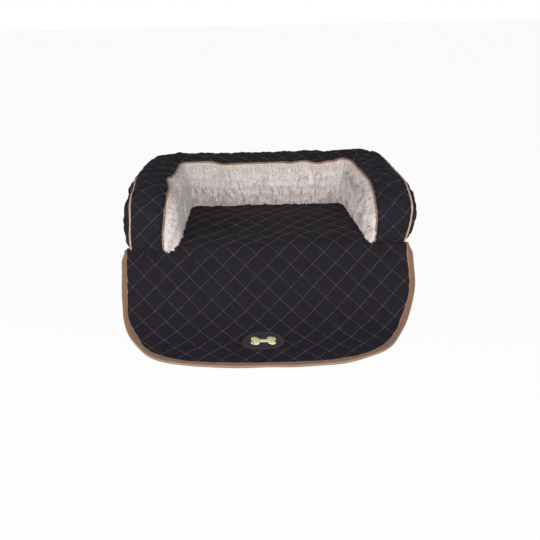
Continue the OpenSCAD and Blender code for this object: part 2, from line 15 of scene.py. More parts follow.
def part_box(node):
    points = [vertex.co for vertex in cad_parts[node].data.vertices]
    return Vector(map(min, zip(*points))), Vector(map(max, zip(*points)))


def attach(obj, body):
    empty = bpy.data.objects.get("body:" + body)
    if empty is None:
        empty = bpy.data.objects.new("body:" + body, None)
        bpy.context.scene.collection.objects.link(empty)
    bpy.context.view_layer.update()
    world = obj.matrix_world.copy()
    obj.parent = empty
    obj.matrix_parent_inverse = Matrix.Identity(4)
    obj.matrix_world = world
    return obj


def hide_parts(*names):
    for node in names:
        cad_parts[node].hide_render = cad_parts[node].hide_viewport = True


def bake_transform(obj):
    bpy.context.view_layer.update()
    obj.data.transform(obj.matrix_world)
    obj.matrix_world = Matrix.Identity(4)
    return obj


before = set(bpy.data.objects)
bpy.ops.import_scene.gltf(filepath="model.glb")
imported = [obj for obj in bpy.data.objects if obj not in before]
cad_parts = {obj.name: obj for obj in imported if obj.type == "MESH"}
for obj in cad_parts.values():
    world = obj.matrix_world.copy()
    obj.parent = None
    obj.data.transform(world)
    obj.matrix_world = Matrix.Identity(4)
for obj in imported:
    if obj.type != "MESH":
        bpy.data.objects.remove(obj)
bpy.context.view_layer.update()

MM = 0.001

# %% [markdown]
# The camera stands where the photographer stood: in front of the bed, a little above it, looking down
# by 23 degrees, with the camera tilted by just over one degree. Its place was worked out from the
# quilting, whose diamonds are all the same size and so show how distance shortens them.

# %% Camera
def new_object(name, data):
    """Makes an object that shows some data and puts it into the scene."""
    made = bpy.data.objects.new(name, data)
    bpy.context.scene.collection.objects.link(made)
    return made


def add_camera(place, look_down, roll, lens):
    """Adds a camera that looks along +Y, tipped down and then turned about its own line of sight."""
    data = bpy.data.cameras.new("camera")
    data.lens = lens
    data.sensor_width = 36
    camera = new_object("camera", data)
    camera.location = place
    tip = math.radians(90 - look_down)
    turn = math.radians(roll)
    camera.rotation_mode = "QUATERNION"
    camera.rotation_quaternion = Quaternion((1, 0, 0), tip) @ Quaternion((0, 0, 1), turn)
    bpy.context.scene.camera = camera


add_camera(place=(0.0015, -1.9467, 0.8272), look_down=23.14, roll=-1.3, lens=47.94)

# %% [markdown]
# The planes that everything is sewn to come from the frame: the base's front and back walls, the deck
# under the seat, and the middle of the seat's front edge, where the flap turns down. Smaller sizes
# that only cloth has, such as a hem or a puff, are named where they are first needed.

# %% Planes of the bed
BASE_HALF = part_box("base_boxing")[1].x
BACK_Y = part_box("base_boxing")[1].y
DECK_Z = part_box("base_boxing")[1].z
FRONT_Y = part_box("front_panel")[0].y
SEAT_Z = DECK_Z + 12 * MM
SEAT_DEPTH = 343 * MM
PIPING_R = 2.8 * MM
print("seat at", round(SEAT_Z, 3), "front at", round(FRONT_Y, 4))


# %% [markdown]
# A few small helpers shape almost everything. A smooth step eases from 0 to 1, and a chain of them
# passes through given values. An arch is how stuffing pushes a cloth out between two seams, fuller
# than a sine because the cloth is tight. A ripple is a soft random field, the sum of plane waves in
# random directions, and a seed fixes it for every run. A bell swells round a middle and dies away.

# %% Shaping helpers
def smooth(t):
    """Eases from 0 to 1 as t goes from 0 to 1: three t squared less two t cubed."""
    t = np.clip(t, 0, 1)
    return t * t * (3 - 2 * t)


def arch(share, fullness=0.6):
    """Zero at a span's ends and one in its middle: the sine of half a turn, to a power below 1."""
    return np.sin(np.pi * np.clip(share, 0, 1)) ** fullness


def bell(x, middle, width, power=2):
    """One at the middle, falling off on both sides: e to the less distance over width, to a power."""
    return np.exp(-(((x - middle) / width) ** power))


WAVES = 9


def ripple(u, v, size, seed):
    """A soft random field between about -1 and 1: the scaled sum of sines along random directions."""
    random = np.random.default_rng(seed)
    turn = random.uniform(0, 2 * np.pi, WAVES)
    phase = random.uniform(0, 2 * np.pi, WAVES)
    pace = 2 * np.pi / size * random.uniform(0.7, 1.4, WAVES)
    field = sum(
        np.sin(p * (u * np.cos(t) + v * np.sin(t)) + f) for t, p, f in zip(turn, pace, phase)
    )
    return field / math.sqrt(WAVES / 2) / 2


def eased(t, places, values):
    """Passes through the values at their places, level at each, with the smooth step in between."""
    k = np.clip(np.searchsorted(places, t) - 1, 0, len(places) - 2)
    low, high = np.take(places, k), np.take(places, k + 1)
    share = smooth((t - low) / (high - low))
    return np.take(values, k) * (1 - share) + np.take(values, k + 1) * share


def steps(span, size):
    """How many cells of about that size cover the span."""
    return max(2, int(round(span / size)))


def unit(vectors):
    """Vectors at length one."""
    return vectors / np.maximum(np.linalg.norm(vectors, axis=-1, keepdims=True), 1e-12)


def walked(line):
    """The distance walked along a line of points, 0 at its first."""
    return np.concatenate([[0], np.cumsum(np.linalg.norm(np.diff(line, axis=0), axis=1))])


# %% [markdown]
# The bolsters run along rails: the inner and outer piping on top, the seat's edge and the base's wall
# below. Half a rail goes up an arm's front, over its rounded shoulder, back along its top, round a
# corner and to the middle of the back, one zone each for q from 0 to 5. The arms were stuffed by hand
# and differ: the left one has a tighter shoulder, and its inner seam steps in where the back's fleece
# begins; the right one slopes more. Stuffing also left the inner seam wavy along the back.

# %% Rails of the bolsters
INNER_BACK = FRONT_Y + 360 * MM
OUTER_BACK = FRONT_Y + 454 * MM
RAILS = {  # in mm, but for back_y
    "right_inner": dict(foot=271, crest=268, corner=247, belly=5, shoulder=72, rise=133, length=110,
                        radius=42, back_y=INNER_BACK, back_rise=128, middle=126),
    "right_outer": dict(foot=349, crest=357, corner=348, belly=8, shoulder=84, rise=134, length=95,
                        radius=85, back_y=OUTER_BACK, back_rise=119, middle=118),
    "left_inner": dict(foot=270, crest=257, corner=256, belly=2, shoulder=54, rise=127, length=72,
                       radius=24, back_y=INNER_BACK, back_rise=126, middle=126, drop=9),
    "left_outer": dict(foot=353, crest=348, corner=355, belly=0, shoulder=56, rise=127, length=66,
                       radius=72, back_y=OUTER_BACK, back_rise=116, middle=118, drop=9),
    "right_seat": dict(foot=271, crest=271, corner=238, draw=8, length=40, radius=44,
                       back_y=FRONT_Y + SEAT_DEPTH),
    "left_seat": dict(foot=270, crest=270, corner=244, draw=25, length=22, radius=44,
                      back_y=FRONT_Y + SEAT_DEPTH),
    "right_foot": dict(foot=355, crest=355, corner=355, length=95, radius=60, back_y=BACK_Y),
    "left_foot": dict(foot=355, crest=355, corner=355, length=55, radius=60, back_y=BACK_Y),
}
SWAYS = {  # shares of the arm's run, and steps outward in mm
    "left_inner": ((0, 0.46, 0.5, 0.68, 1), (0, 16, 6, 3, 0)),
    "left_outer": ((0, 0.4, 0.75, 1), (0, 9, 6, 0)),
}
# The wave of the inner seam along the back: places across and heights, in mm.
WAVE_X = (-252, -178, -124, -59, 44, 67, 107, 148, 192, 222)
WAVE_Z = (0, 1, -8, -6.5, -5.3, -8, -4, -13, -7.5, 0)
HITCH = 45 * MM
RUN_FALL = 0.85
ARM, MIDDLE = 3.5, 5.0


def rail(name, q):
    """Points of a rail and its outward directions at zones q.

    Height: straight up the front, a quarter of a sine over the shoulder, then a straight fall to the
    back, most of it along the arm. Plan: the foot's half width, leaned to the crest's with the height,
    then a straight run to a quarter circle and the back. Where a rail has a drop, its foot is hitched
    down the flap's slope, and the hitch fades out with the height.
    """
    size = dict(belly=0, draw=0, shoulder=0, rise=0, back_rise=0, middle=0, drop=0)
    size.update({k: v if k == "back_y" else v * MM for k, v in RAILS[name].items()})
    front, over, run, turn, back = (np.clip(q - zone, 0, 1) for zone in range(5))
    over, turn_angle = over * np.pi / 2, turn * np.pi / 2
    z = size["shoulder"] * front + (size["rise"] - size["shoulder"]) * np.sin(over)
    climbed = z / max(size["rise"], MM)
    x = size["foot"] + (size["crest"] - size["foot"]) * smooth(climbed)
    x = x + size["belly"] * np.sin(np.pi * climbed) - size["draw"] * np.sin(over)
    x = x + (size["corner"] - size["crest"] + size["draw"]) * run
    if name in SWAYS:
        x = x + eased(run, *SWAYS[name]) * MM
    x = x - size["radius"] * (1 - np.cos(turn_angle)) - (size["corner"] - size["radius"]) * back
    corner_y = size["back_y"] - size["radius"]
    y = FRONT_Y + size["length"] * (1 - np.cos(over)) + size["radius"] * np.sin(turn_angle)
    y = y + (corner_y - FRONT_Y - size["length"]) * run
    z = z + (size["back_rise"] - size["rise"]) * (RUN_FALL * run + (1 - RUN_FALL) * turn)
    z = z + (size["middle"] - size["back_rise"]) * smooth(back)
    hitched = size["drop"] * (1 - smooth(z / HITCH)) * (q < 2)
    y = y - SLOPE_Y * hitched
    z = z - SLOPE_Z * hitched
    side = -1 if name.startswith("left") else 1
    if name.endswith("inner"):
        z = z + eased(side * x / MM, WAVE_X, WAVE_Z) * MM * smooth(turn)
    points = np.stack([side * x, y, z + 0 * q], -1)
    outward = np.stack([side * np.cos(turn_angle), np.sin(turn_angle), 0 * q], -1)
    return points, outward


# %% [markdown]
# The flap's cloth runs on from the seat: flat, round the front edge, down a slope and on to the floor.
# One line describes it, found by adding up short steps whose direction turns with the distance v from
# the edge. The seat lies at negative v.

# %% The line of the seat and flap
SLOPE = math.radians(43)
SLOPE_Y, SLOPE_Z = math.cos(SLOPE), math.sin(SLOPE)
BEND_R, KNEE_R = 22 * MM, 200 * MM
CLOTH_T, LINING_T, FLOOR_GAP = 3.0 * MM, 1.6 * MM, 0.6 * MM
LYING_Z = CLOTH_T + LINING_T + FLOOR_GAP
turned_down = (BEND_R + KNEE_R) * (1 - math.cos(SLOPE))
HANG = (SEAT_Z - LYING_Z - turned_down) / math.sin(SLOPE)
FLAP_L = 379 * MM
line_v = np.linspace(-SEAT_DEPTH, FLAP_L + 40 * MM, 3000)
bend_half = BEND_R * SLOPE / 2
down = np.clip((line_v + bend_half) / (2 * bend_half), 0, 1)
up = np.clip((line_v - bend_half - HANG) / (KNEE_R * SLOPE), 0, 1)
line_angle = SLOPE * (down - up)
line_step = line_v[1] - line_v[0]
line_y = FRONT_Y + SEAT_DEPTH - np.cumsum(np.cos(line_angle)) * line_step
line_z = SEAT_Z - np.cumsum(np.sin(line_angle)) * line_step
print("the flap hangs for", round(HANG, 3), "and lies at", round(line_z[-1], 4))


def along(x, v, lift):
    """Points of the seat and flap: across, along the line, and lifted square to the cloth."""
    angle = np.interp(v, line_v, line_angle)
    y = np.interp(v, line_v, line_y) - np.sin(angle) * lift
    z = np.interp(v, line_v, line_z) + np.cos(angle) * lift
    return np.stack([x + 0 * v, y, z], -1)


# %% [markdown]
# A sewn panel becomes a closed shell: a grid of points on top, the same grid underneath, and a rim
# that joins the two along every open edge. The rim is found from the grid itself: an edge that only
# one cell uses is open. Cloth coordinates in metres go into the UV map, so that the weave keeps its
# real scale on every panel. Stitches, tufts and teeth are many equal small things, so one of them
# gives the faces of all.

# %% Meshes and shells
def grid_faces(rows, cols, keep=None, flip=False):
    """Corner numbers of a grid's cells, rows by columns, as an array with four columns."""
    r, c = np.meshgrid(np.arange(rows - 1), np.arange(cols - 1), indexing="ij")
    if keep is not None:
        r, c = r[keep], c[keep]
    first = (r * cols + c).ravel()
    quads = np.stack([first, first + 1, first + cols + 1, first + cols], 1)
    return quads[:, ::-1] if flip else quads


def mesh_piece(name, points, faces, corner_uv=None, rounded=True):
    """Makes a mesh object. The UVs come from a function of the corners' point numbers."""
    mesh = bpy.data.meshes.new(name)
    mesh.from_pydata(points.reshape(-1, 3).tolist(), [], faces)
    if corner_uv:
        layer = mesh.uv_layers.new(name="cloth")
        corner = np.empty(len(mesh.loops), np.int32)
        mesh.loops.foreach_get("vertex_index", corner)
        layer.data.foreach_set("uv", corner_uv(corner).astype(np.float32).ravel())
    mesh.polygons.foreach_set("use_smooth", np.full(len(mesh.polygons), rounded))
    return new_object(name, mesh)


def new_piece(name, points, faces, uv=None, marks=None, sharp=50):
    """Makes a piece from arrays, without unused points, with UVs and named point attributes."""
    used, index = np.unique(faces, return_inverse=True)
    faces = index.reshape(faces.shape).tolist()
    corner_uv = None if uv is None else lambda corner: uv[used][corner]
    piece = mesh_piece(name, points[used], faces, corner_uv)
    for key, values in (marks or {}).items():
        attribute = piece.data.attributes.new(key, "FLOAT", "POINT")
        attribute.data.foreach_set("value", values[used].astype(np.float32))
    piece.data.set_sharp_from_angle(angle=math.radians(sharp))
    return piece


def ring_quads(rings, corners, turned=False):
    """Faces between the rings of a tube, each ring with that many corners, facing either way."""
    k, i = np.divmod(np.arange((rings - 1) * corners), corners)
    this, following = k * corners + i, k * corners + (i + 1) % corners
    quads = np.stack([this, following, following + corners, this + corners], 1)
    return quads[:, [0, 3, 2, 1]] if turned else quads


def repeated(cell, count, size):
    """The faces of many equal things, from one thing's faces and its number of points."""
    return (np.arange(count)[:, None, None] * size + np.array(cell)).reshape(-1, 4)


def shell(name, top, under, uv, keep=None, flip=False):
    """Closes a grid of top points and a grid of under points into one shell."""
    rows, cols = top.shape[:2]
    n = rows * cols
    quads = grid_faces(rows, cols, keep, flip)
    edges = np.concatenate([quads[:, [k, (k + 1) % 4]] for k in range(4)])
    there = edges[:, 0] * n + edges[:, 1]
    back = edges[:, 1] * n + edges[:, 0]
    a, b = edges[~np.isin(there, back)].T
    rim = np.stack([b, a, a + n, b + n], 1)
    faces = np.concatenate([quads, quads[:, ::-1] + n, rim])
    points = np.concatenate([top.reshape(-1, 3), under.reshape(-1, 3)])
    flat = uv.reshape(-1, 2)
    return new_piece(name, points, faces, np.concatenate([flat, flat]))


def grid_normals(points, flip=False):
    """Unit normals of a grid of points, from the cross product of its two differences."""
    down_rows = np.gradient(points, axis=0)
    across = np.gradient(points, axis=1)
    normal = unit(np.cross(across, down_rows))
    return -normal if flip else normal


# %% [markdown]
# The cover is polyester over a thin wadding, quilted in diamonds 57.4 mm wide and 61.4 mm high. Between
# the stitches the wadding puffs the cloth up by a few millimetres, steeply beside the thread and
# flatly in the middle, so the height is the product of two sines to a small power.

# %% Quilting
DIAMOND_W, DIAMOND_H = 57.4 * MM, 61.4 * MM
PUFF, PUFF_POWER = 3.4 * MM, 0.42


def stitch_phases(u, v, start):
    """How many lines of stitching lie between a cloth point and the start, along both diagonals."""
    a = (u - start[0]) / DIAMOND_W
    b = (v - start[1]) / DIAMOND_H
    return a + b, a - b


def puffed(u, v, start):
    """Height share of the wadding, 0 at the stitches: the product of two sines to a small power."""
    p, q = stitch_phases(u, v, start)
    return np.abs(np.sin(np.pi * p) * np.sin(np.pi * q)) ** PUFF_POWER


def from_edge(rows, cols, row_cells, col_cells):
    """How far each grid point is from the grid's border: 0 on it, 1 that many cells inside."""
    r = np.minimum(np.arange(rows), rows - 1 - np.arange(rows)) / row_cells
    c = np.minimum(np.arange(cols), cols - 1 - np.arange(cols)) / col_cells
    return smooth(np.minimum.outer(r, c))


# %% [markdown]
# The quilting thread is real geometry: short stitches that rise out of one needle hole and dive into
# the next, along both diagonals. To place them, the cloth's flat coordinates are turned back into grid
# coordinates with a few Newton steps, and the sewn surface is read there.

# %% Stitches
STITCH, STITCH_GAP, THREAD_R = 4.2 * MM, 0.5 * MM, 0.34 * MM
FOUND_WITHIN = 0.6 * MM


def read_grid(grid, r, c):
    """Reads a grid of values at fractional rows and columns, by weighting its four neighbours."""
    rows, cols = grid.shape[:2]
    r0 = np.clip(np.floor(r).astype(int), 0, rows - 2)
    c0 = np.clip(np.floor(c).astype(int), 0, cols - 2)
    fr, fc = (r - r0)[:, None], (c - c0)[:, None]
    near = grid[r0, c0] * (1 - fc) + grid[r0, c0 + 1] * fc
    far = grid[r0 + 1, c0] * (1 - fc) + grid[r0 + 1, c0 + 1] * fc
    return near * (1 - fr) + far * fr


def find_on_grid(flat, target, keep=None, rounds=14):
    """Grid coordinates of flat cloth points, by Newton's method, and which of them lie on the cloth."""
    rows, cols = flat.shape[:2]
    sparse = flat[::4, ::4].reshape(-1, 2)
    where = np.array([(r, c) for r in range(0, rows, 4) for c in range(0, cols, 4)])
    if keep is not None:
        real = keep[tuple(np.minimum(where, [rows - 2, cols - 2]).T)]
        sparse, where = sparse[real], where[real]
    start = np.concatenate([
        where[np.argmin(((part[:, None] - sparse[None]) ** 2).sum(-1), axis=1)]
        for part in np.array_split(target, max(1, len(target) // 500))
    ])
    last_r, last_c = rows - 1.001, cols - 1.001
    r, c = start.T
    for _ in range(rounds):
        r, c = np.clip(r, 0, last_r), np.clip(c, 0, last_c)
        by_r = read_grid(flat, np.minimum(r + 0.5, rows - 1), c)
        by_r = by_r - read_grid(flat, np.maximum(r - 0.5, 0), c)
        by_c = read_grid(flat, r, np.minimum(c + 0.5, cols - 1))
        by_c = by_c - read_grid(flat, r, np.maximum(c - 0.5, 0))
        miss = target - read_grid(flat, r, c)
        det = by_r[:, 0] * by_c[:, 1] - by_r[:, 1] * by_c[:, 0]
        det = np.where(np.abs(det) < 1e-12, 1e-12, det)
        r = r + np.clip((miss[:, 0] * by_c[:, 1] - miss[:, 1] * by_c[:, 0]) / det, -3, 3)
        c = c + np.clip((by_r[:, 0] * miss[:, 1] - by_r[:, 1] * miss[:, 0]) / det, -3, 3)
    r, c = np.clip(r, 0, last_r), np.clip(c, 0, last_c)
    found = np.linalg.norm(read_grid(flat, r, c) - target, axis=1) < FOUND_WITHIN
    if keep is not None:
        found &= keep[r.astype(int), c.astype(int)]
    return r, c, found


def stitch_marks(flat, start, skip=None):
    """Middles and directions of the stitches that cover a cloth's flat coordinates."""
    low, high = flat.reshape(-1, 2).min(0), flat.reshape(-1, 2).max(0)
    middles, ways = [], []
    for way in (1, -1):
        line = np.array([DIAMOND_W, way * DIAMOND_H])
        length = np.linalg.norm(line)
        line = line / length
        corners = np.array([(x, y) for x in (low[0], high[0]) for y in (low[1], high[1])])
        phase = [(c[0] - start[0]) / DIAMOND_W - way * (c[1] - start[1]) / DIAMOND_H for c in corners]
        for k in range(math.ceil(min(phase)), math.floor(max(phase)) + 1):
            foot = np.array([start[0] + k * DIAMOND_W, start[1]])
            reach = (corners - foot) @ line
            s = np.arange(math.floor(reach.min() / STITCH), math.ceil(reach.max() / STITCH)) * STITCH
            middles.append(foot + np.outer(s + STITCH / 2, line))
            ways.append(np.tile(line, (len(s), 1)))
    middles, ways = np.concatenate(middles), np.concatenate(ways)
    inside = ((middles > low) & (middles < high)).all(1)
    if skip is not None:
        inside &= ~skip(middles)
    return middles[inside], ways[inside]


def sew(name, surface, flat, start, keep=None, flip=False, skip=None):
    """Sews along every quilting line of a surface. Each stitch is three rings of four points.

    Its ends dive into the cloth and its middle stands out of it.
    """
    middles, ways = stitch_marks(flat, start, skip)
    half = (STITCH - STITCH_GAP) / 2
    ends = [find_on_grid(flat, middles + ways * t, keep) for t in (-half, 0, half)]
    good = ends[0][2] & ends[1][2] & ends[2][2]
    normals = grid_normals(surface, flip)
    depth = (-0.7 * THREAD_R, 0.75 * THREAD_R, -0.7 * THREAD_R)
    line = np.stack([
        read_grid(surface, e[0][good], e[1][good]) + read_grid(normals, e[0][good], e[1][good]) * d
        for e, d in zip(ends, depth)
    ], 1)
    up = read_grid(normals, ends[1][0][good], ends[1][1][good])
    side = unit(np.cross(line[:, 2] - line[:, 0], up)) * THREAD_R
    up = unit(up) * THREAD_R
    ring = np.stack([side, up, -side, -up], 1)
    shrink = np.array([0.55, 1, 0.55])
    points = (line[:, :, None] + ring[:, None] * shrink[None, :, None, None]).reshape(-1, 3)
    cell = np.concatenate([ring_quads(3, 4), [[3, 2, 1, 0], [8, 9, 10, 11]]])
    print(name, "has", len(line), "stitches")
    return new_piece(name, points, repeated(cell, len(line), 12), sharp=180)


# %% [markdown]
# A tight cover isn't a smooth balloon: where the stitches hold it and the filling pushes, the cloth
# puckers. Blender's cloth solver finds that. The panel's grid becomes a cloth a little too large for
# its seams, pinned at its border and where the quilting lines cross, and a light pressure blows it
# out for twenty frames with no gravity. Only a capped part of the movement is kept.

# %% Cloth simulation
SOLVER = dict(
    quality=4, mass=0.15, tension_stiffness=12, compression_stiffness=12, shear_stiffness=6,
    bending_stiffness=0.25, use_pressure=True, uniform_pressure_force=2.5,
    vertex_group_mass="pins", pin_stiffness=3,
)
SOLVER_FRAMES = 20
ON_LINE, ON_CROSSING = 0.07, 0.09


def stuffed(points, pins, flip, spare=0.03, most=5 * MM):
    """Blows a pinned grid of cloth outward and returns the grid, moved by no more than the cap."""
    rows, cols = points.shape[:2]
    piece = new_piece("blown", points.reshape(-1, 3), grid_faces(rows, cols, flip=flip))
    group = piece.vertex_groups.new(name="pins")
    strength = np.round(pins.ravel() * 4) / 4
    for share in (0.25, 0.5, 0.75, 1.0):
        group.add(np.flatnonzero(strength == share).tolist(), share, "REPLACE")
    cloth = piece.modifiers.new("cloth", "CLOTH")
    for key, value in SOLVER.items():
        setattr(cloth.settings, key, value)
    cloth.settings.shrink_min = -spare
    cloth.settings.effector_weights.gravity = 0
    cloth.collision_settings.use_collision = False
    cloth.point_cache.frame_start, cloth.point_cache.frame_end = 1, SOLVER_FRAMES
    for frame_number in range(1, SOLVER_FRAMES + 1):
        bpy.context.scene.frame_set(frame_number)
    evaluated = piece.evaluated_get(bpy.context.evaluated_depsgraph_get())
    blown = np.empty(rows * cols * 3, np.float32)
    evaluated.data.vertices.foreach_get("co", blown)
    bpy.context.scene.frame_set(1)
    mesh = piece.data
    bpy.data.objects.remove(piece)
    bpy.data.meshes.remove(mesh)
    moved = blown.reshape(points.shape) - points
    far = np.linalg.norm(moved, axis=-1, keepdims=True)
    print("cloth moved by up to", round(float(far.max()) / MM, 1), "mm")
    return points + moved * np.minimum(1, most / np.maximum(far, 1e-9))


def quilting_pins(u, v, start):
    """Pins for the solver: 1 at the border and where lines cross, 0.75 along the lines, else 0."""
    p, q = stitch_phases(u, v, start)
    near_p, near_q = np.abs(p - np.round(p)), np.abs(q - np.round(q))
    pins = np.where(np.minimum(near_p, near_q) < ON_LINE, 0.75, 0.0)
    pins = np.where(np.maximum(near_p, near_q) < ON_CROSSING, 1.0, pins)
    pins[[0, -1]] = 1
    pins[:, [0, -1]] = 1
    return pins


# %% [markdown]
# The seat and the flap are one quilted cloth. Its grid has three parts across: a left wing under the
# left arm, the seat's width, and a right wing. Rows behind the front edge keep only the seat's
# columns, and their ends follow the fleece. The flap's two lower corners are cut round: there, a
# square of cells is pressed into a quarter disk, so that the rows bend along the edge.

# %% Flat pattern of the seat and flap
CELL = 4.8 * MM
WING_LEFT, WING_RIGHT = 364.8 * MM, 352.8 * MM
SEAT_LEFT, SEAT_RIGHT = -270 * MM, 271 * MM
CORNERS = (
    (-1, dict(half=WING_LEFT, taper=0.080, width=345 * MM, length=208 * MM,
              reach=(0.047, -0.059, -0.036))),
    (1, dict(half=WING_RIGHT, taper=0.016, width=309 * MM, length=287 * MM,
             reach=(0.026, -0.067, -0.012))),
)


def disk(p, q):
    """Presses a square into a disk: each side times the root of 1 less half the other's square."""
    return p * np.sqrt(1 - q * q / 2), q * np.sqrt(1 - p * p / 2)


def flap_corner(p, q, reach):
    """Presses a unit square into a rounded quarter, nearly a quarter disk.

    In a quarter of the disk, each point moves in or out with the square of its distance, by how far
    the real edge lies from the disk's: the squared sine of twice its direction times a short sum of
    cosines.
    """
    a, b = disk(p, q)
    turn = np.arctan2(b, a)
    more = reach[0] + reach[1] * np.cos(2 * turn) + reach[2] * np.cos(4 * turn)
    grow = 1 + np.sin(2 * turn) ** 2 * more * (a * a + b * b)
    return a * grow, b * grow


def cut_flap(x, v):
    """Moves the flap's square pattern into its real outline: two rounded corners, then a taper."""
    x, v = x.copy(), v.copy()
    for side, size in CORNERS:
        inner, start = size["half"] - size["width"], FLAP_L - size["length"]
        p = (side * x - inner) / size["width"]
        q = (v - start) / size["length"]
        a, b = flap_corner(np.clip(p, 0, 1), np.clip(q, 0, 1), size["reach"])
        there = (p > 0) & (q > 0)
        x = np.where(there, side * (inner + a * size["width"]), x)
        v = np.where(there, start + b * size["length"], v)
    for side, size in CORNERS:
        narrowed = 1 - size["taper"] * np.clip(v, 0, None) / size["half"]
        x = np.where(side * x > 0, x * narrowed, x)
    return x, v


def columns(*spans):
    """Column places across several spans, each cut into whole cells."""
    parts = [np.linspace(a, b, steps(b - a, CELL) + 1)[:-1] for a, b in spans]
    return np.concatenate(parts + [[spans[-1][1]]])


cloth_x = columns((-WING_LEFT, SEAT_LEFT), (SEAT_LEFT, SEAT_RIGHT), (SEAT_RIGHT, WING_RIGHT))
seat_v = np.linspace(-SEAT_DEPTH, 0, steps(SEAT_DEPTH, CELL) + 1)
flap_v = np.linspace(0, FLAP_L, steps(FLAP_L, CELL) + 1)
cloth_v = np.concatenate([seat_v[:-1], flap_v])
flat_x, flat_v = np.meshgrid(cloth_x, cloth_v)
flat_x, flat_v = cut_flap(flat_x, flat_v)
on_seat = np.clip(-flat_v, 0, None)
seat_q = np.linspace(1, MIDDLE, 400)
for side, edge in ((-1, "left_seat"), (1, "right_seat")):
    edge_line = rail(edge, seat_q)[0]
    edge_x = np.interp(FRONT_Y + on_seat, edge_line[:, 1], np.abs(edge_line[:, 0]))
    reach = abs(SEAT_LEFT if side < 0 else SEAT_RIGHT)
    flat_x = np.where((side * flat_x > 0) & (on_seat > 0), flat_x * edge_x / reach, flat_x)
wing_col = (cloth_x[:-1] < SEAT_LEFT - MM) | (cloth_x[:-1] > SEAT_RIGHT - MM)
cloth_keep = ~((cloth_v[:-1] < -2 * CELL)[:, None] & wing_col[None, :])
print("the cloth's grid:", flat_x.shape)

# %% [markdown]
# On the seat the foam makes a low crown. The cloth dips into the seam along the fleece, and under the
# arms' seams it is gathered: narrow folds start at the seam and die out down the slope. The puffs
# come on top, and each puff is a little different from the next because filling is never even.

# %% Seat and flap
SEAT_START = (-3.6 * MM, -4.5 * MM)
BOW, BOW_FADE, NARROWING = 0.12, 0.8, 0.05


def on_pattern(low, high):
    """A flap node's box as its middle, across and along the cloth, and half its width and height."""
    v = np.interp(-(low.y + high.y) / 2, -line_y, line_v)
    return (low.x + high.x) / 2, float(v), (high.x - low.x) / 2, (high.y - low.y) / 2


patch_low, patch_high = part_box("badge_patch")
PATCH_X, PATCH_V, PATCH_HALF_W, PATCH_HALF_H = on_pattern(patch_low, patch_high)
GATHERS = (  # place across, start along, length and height, in mm
    (-350, -10, 60, 4.5), (-339, -10, 75, -5.0), (-328, -10, 60, 5.0), (-317, -10, 110, -6.0),
    (-304, -10, 85, 5.0), (-289, -10, 75, -5.0), (-274, -10, 60, 4.5), (-259, -8, 60, -4.5),
    (-246, 0, 55, -4.0), (-232, 0, 60, 4.0), (-193, 18, 60, -3.6), (-180, 18, 60, 2.4),
    (-168, 35, 70, -3.0), (-140, 18, 55, -2.4), (259, -10, 55, -3.0), (273, -10, 60, 3.5),
    (288, -10, 65, -3.5), (304, -10, 60, 3.5), (322, -10, 55, -3.0), (338, -10, 45, 3.0),
)
GATHER_W, GATHER_SPREAD, GATHER_FAN, GATHER_FADE = 5.2 * MM, 0.6, 0.015, 1.6


def gathers(x, v):
    """Folds that fan out from the seam: a bell across x that widens with v, and a bell along v."""
    lift = 0 * x
    for place, start, length, height in GATHERS:
        run = np.clip(v - start * MM, 0, None) / (length * MM)
        across = bell(x, place * MM * (1 - GATHER_FAN * run), GATHER_W * (1 + GATHER_SPREAD * run))
        lift = lift + height * MM * across * np.exp(-GATHER_FADE * run ** 2) * smooth(run * 6)
    return lift


def before_sewing(x, v):
    """Where a cloth point lay while it was quilted, flat on the machine.

    Sewing the arms pulled the cloth's sides back, so its rows bow by the square of the distance from
    the middle, and less toward the flap's end. The binding drew the flap's end a little narrower.
    """
    down = np.clip(v, 0, None) / FLAP_L
    wide = x / (1 - NARROWING * down)
    bow = BOW * wide ** 2
    return wide, (v + bow) / (1 + BOW_FADE * bow / FLAP_L * (v > 0))


def from_patch(x, v):
    """Distance from the patch's centre, 1 on its oval edge."""
    return np.hypot((x - PATCH_X) / PATCH_HALF_W, (v - PATCH_V) / PATCH_HALF_H)


HOLLOW = dict(x=-70 * MM, v=-108 * MM, half_w=125 * MM, half_l=75 * MM, high=-11 * MM)
RIDGE = dict(x=115 * MM, v=-40 * MM, half_w=105 * MM, half_l=28 * MM, high=9 * MM)
CROWN, CROWN_W, CROWN_FADE, BACK_FADE = 7 * MM, 260 * MM, 90 * MM, 150 * MM
BACK_DIP, SIDE_DIP, DIP_W = 2.5 * MM, 7 * MM, 18 * MM
PATCH_PRESS = 0.8, 1.3


def mound(x, v, size, power=2):
    """A bell across, whose power may flatten its top, times a plain bell along."""
    across = bell(x, size["x"], size["half_w"], power)
    return size["high"] * across * bell(v, size["v"], size["half_l"])


def hollow(x, v):
    """The hollow a dog has left in the seat: flat-bottomed across, round along."""
    return mound(x, v, HOLLOW, power=4)


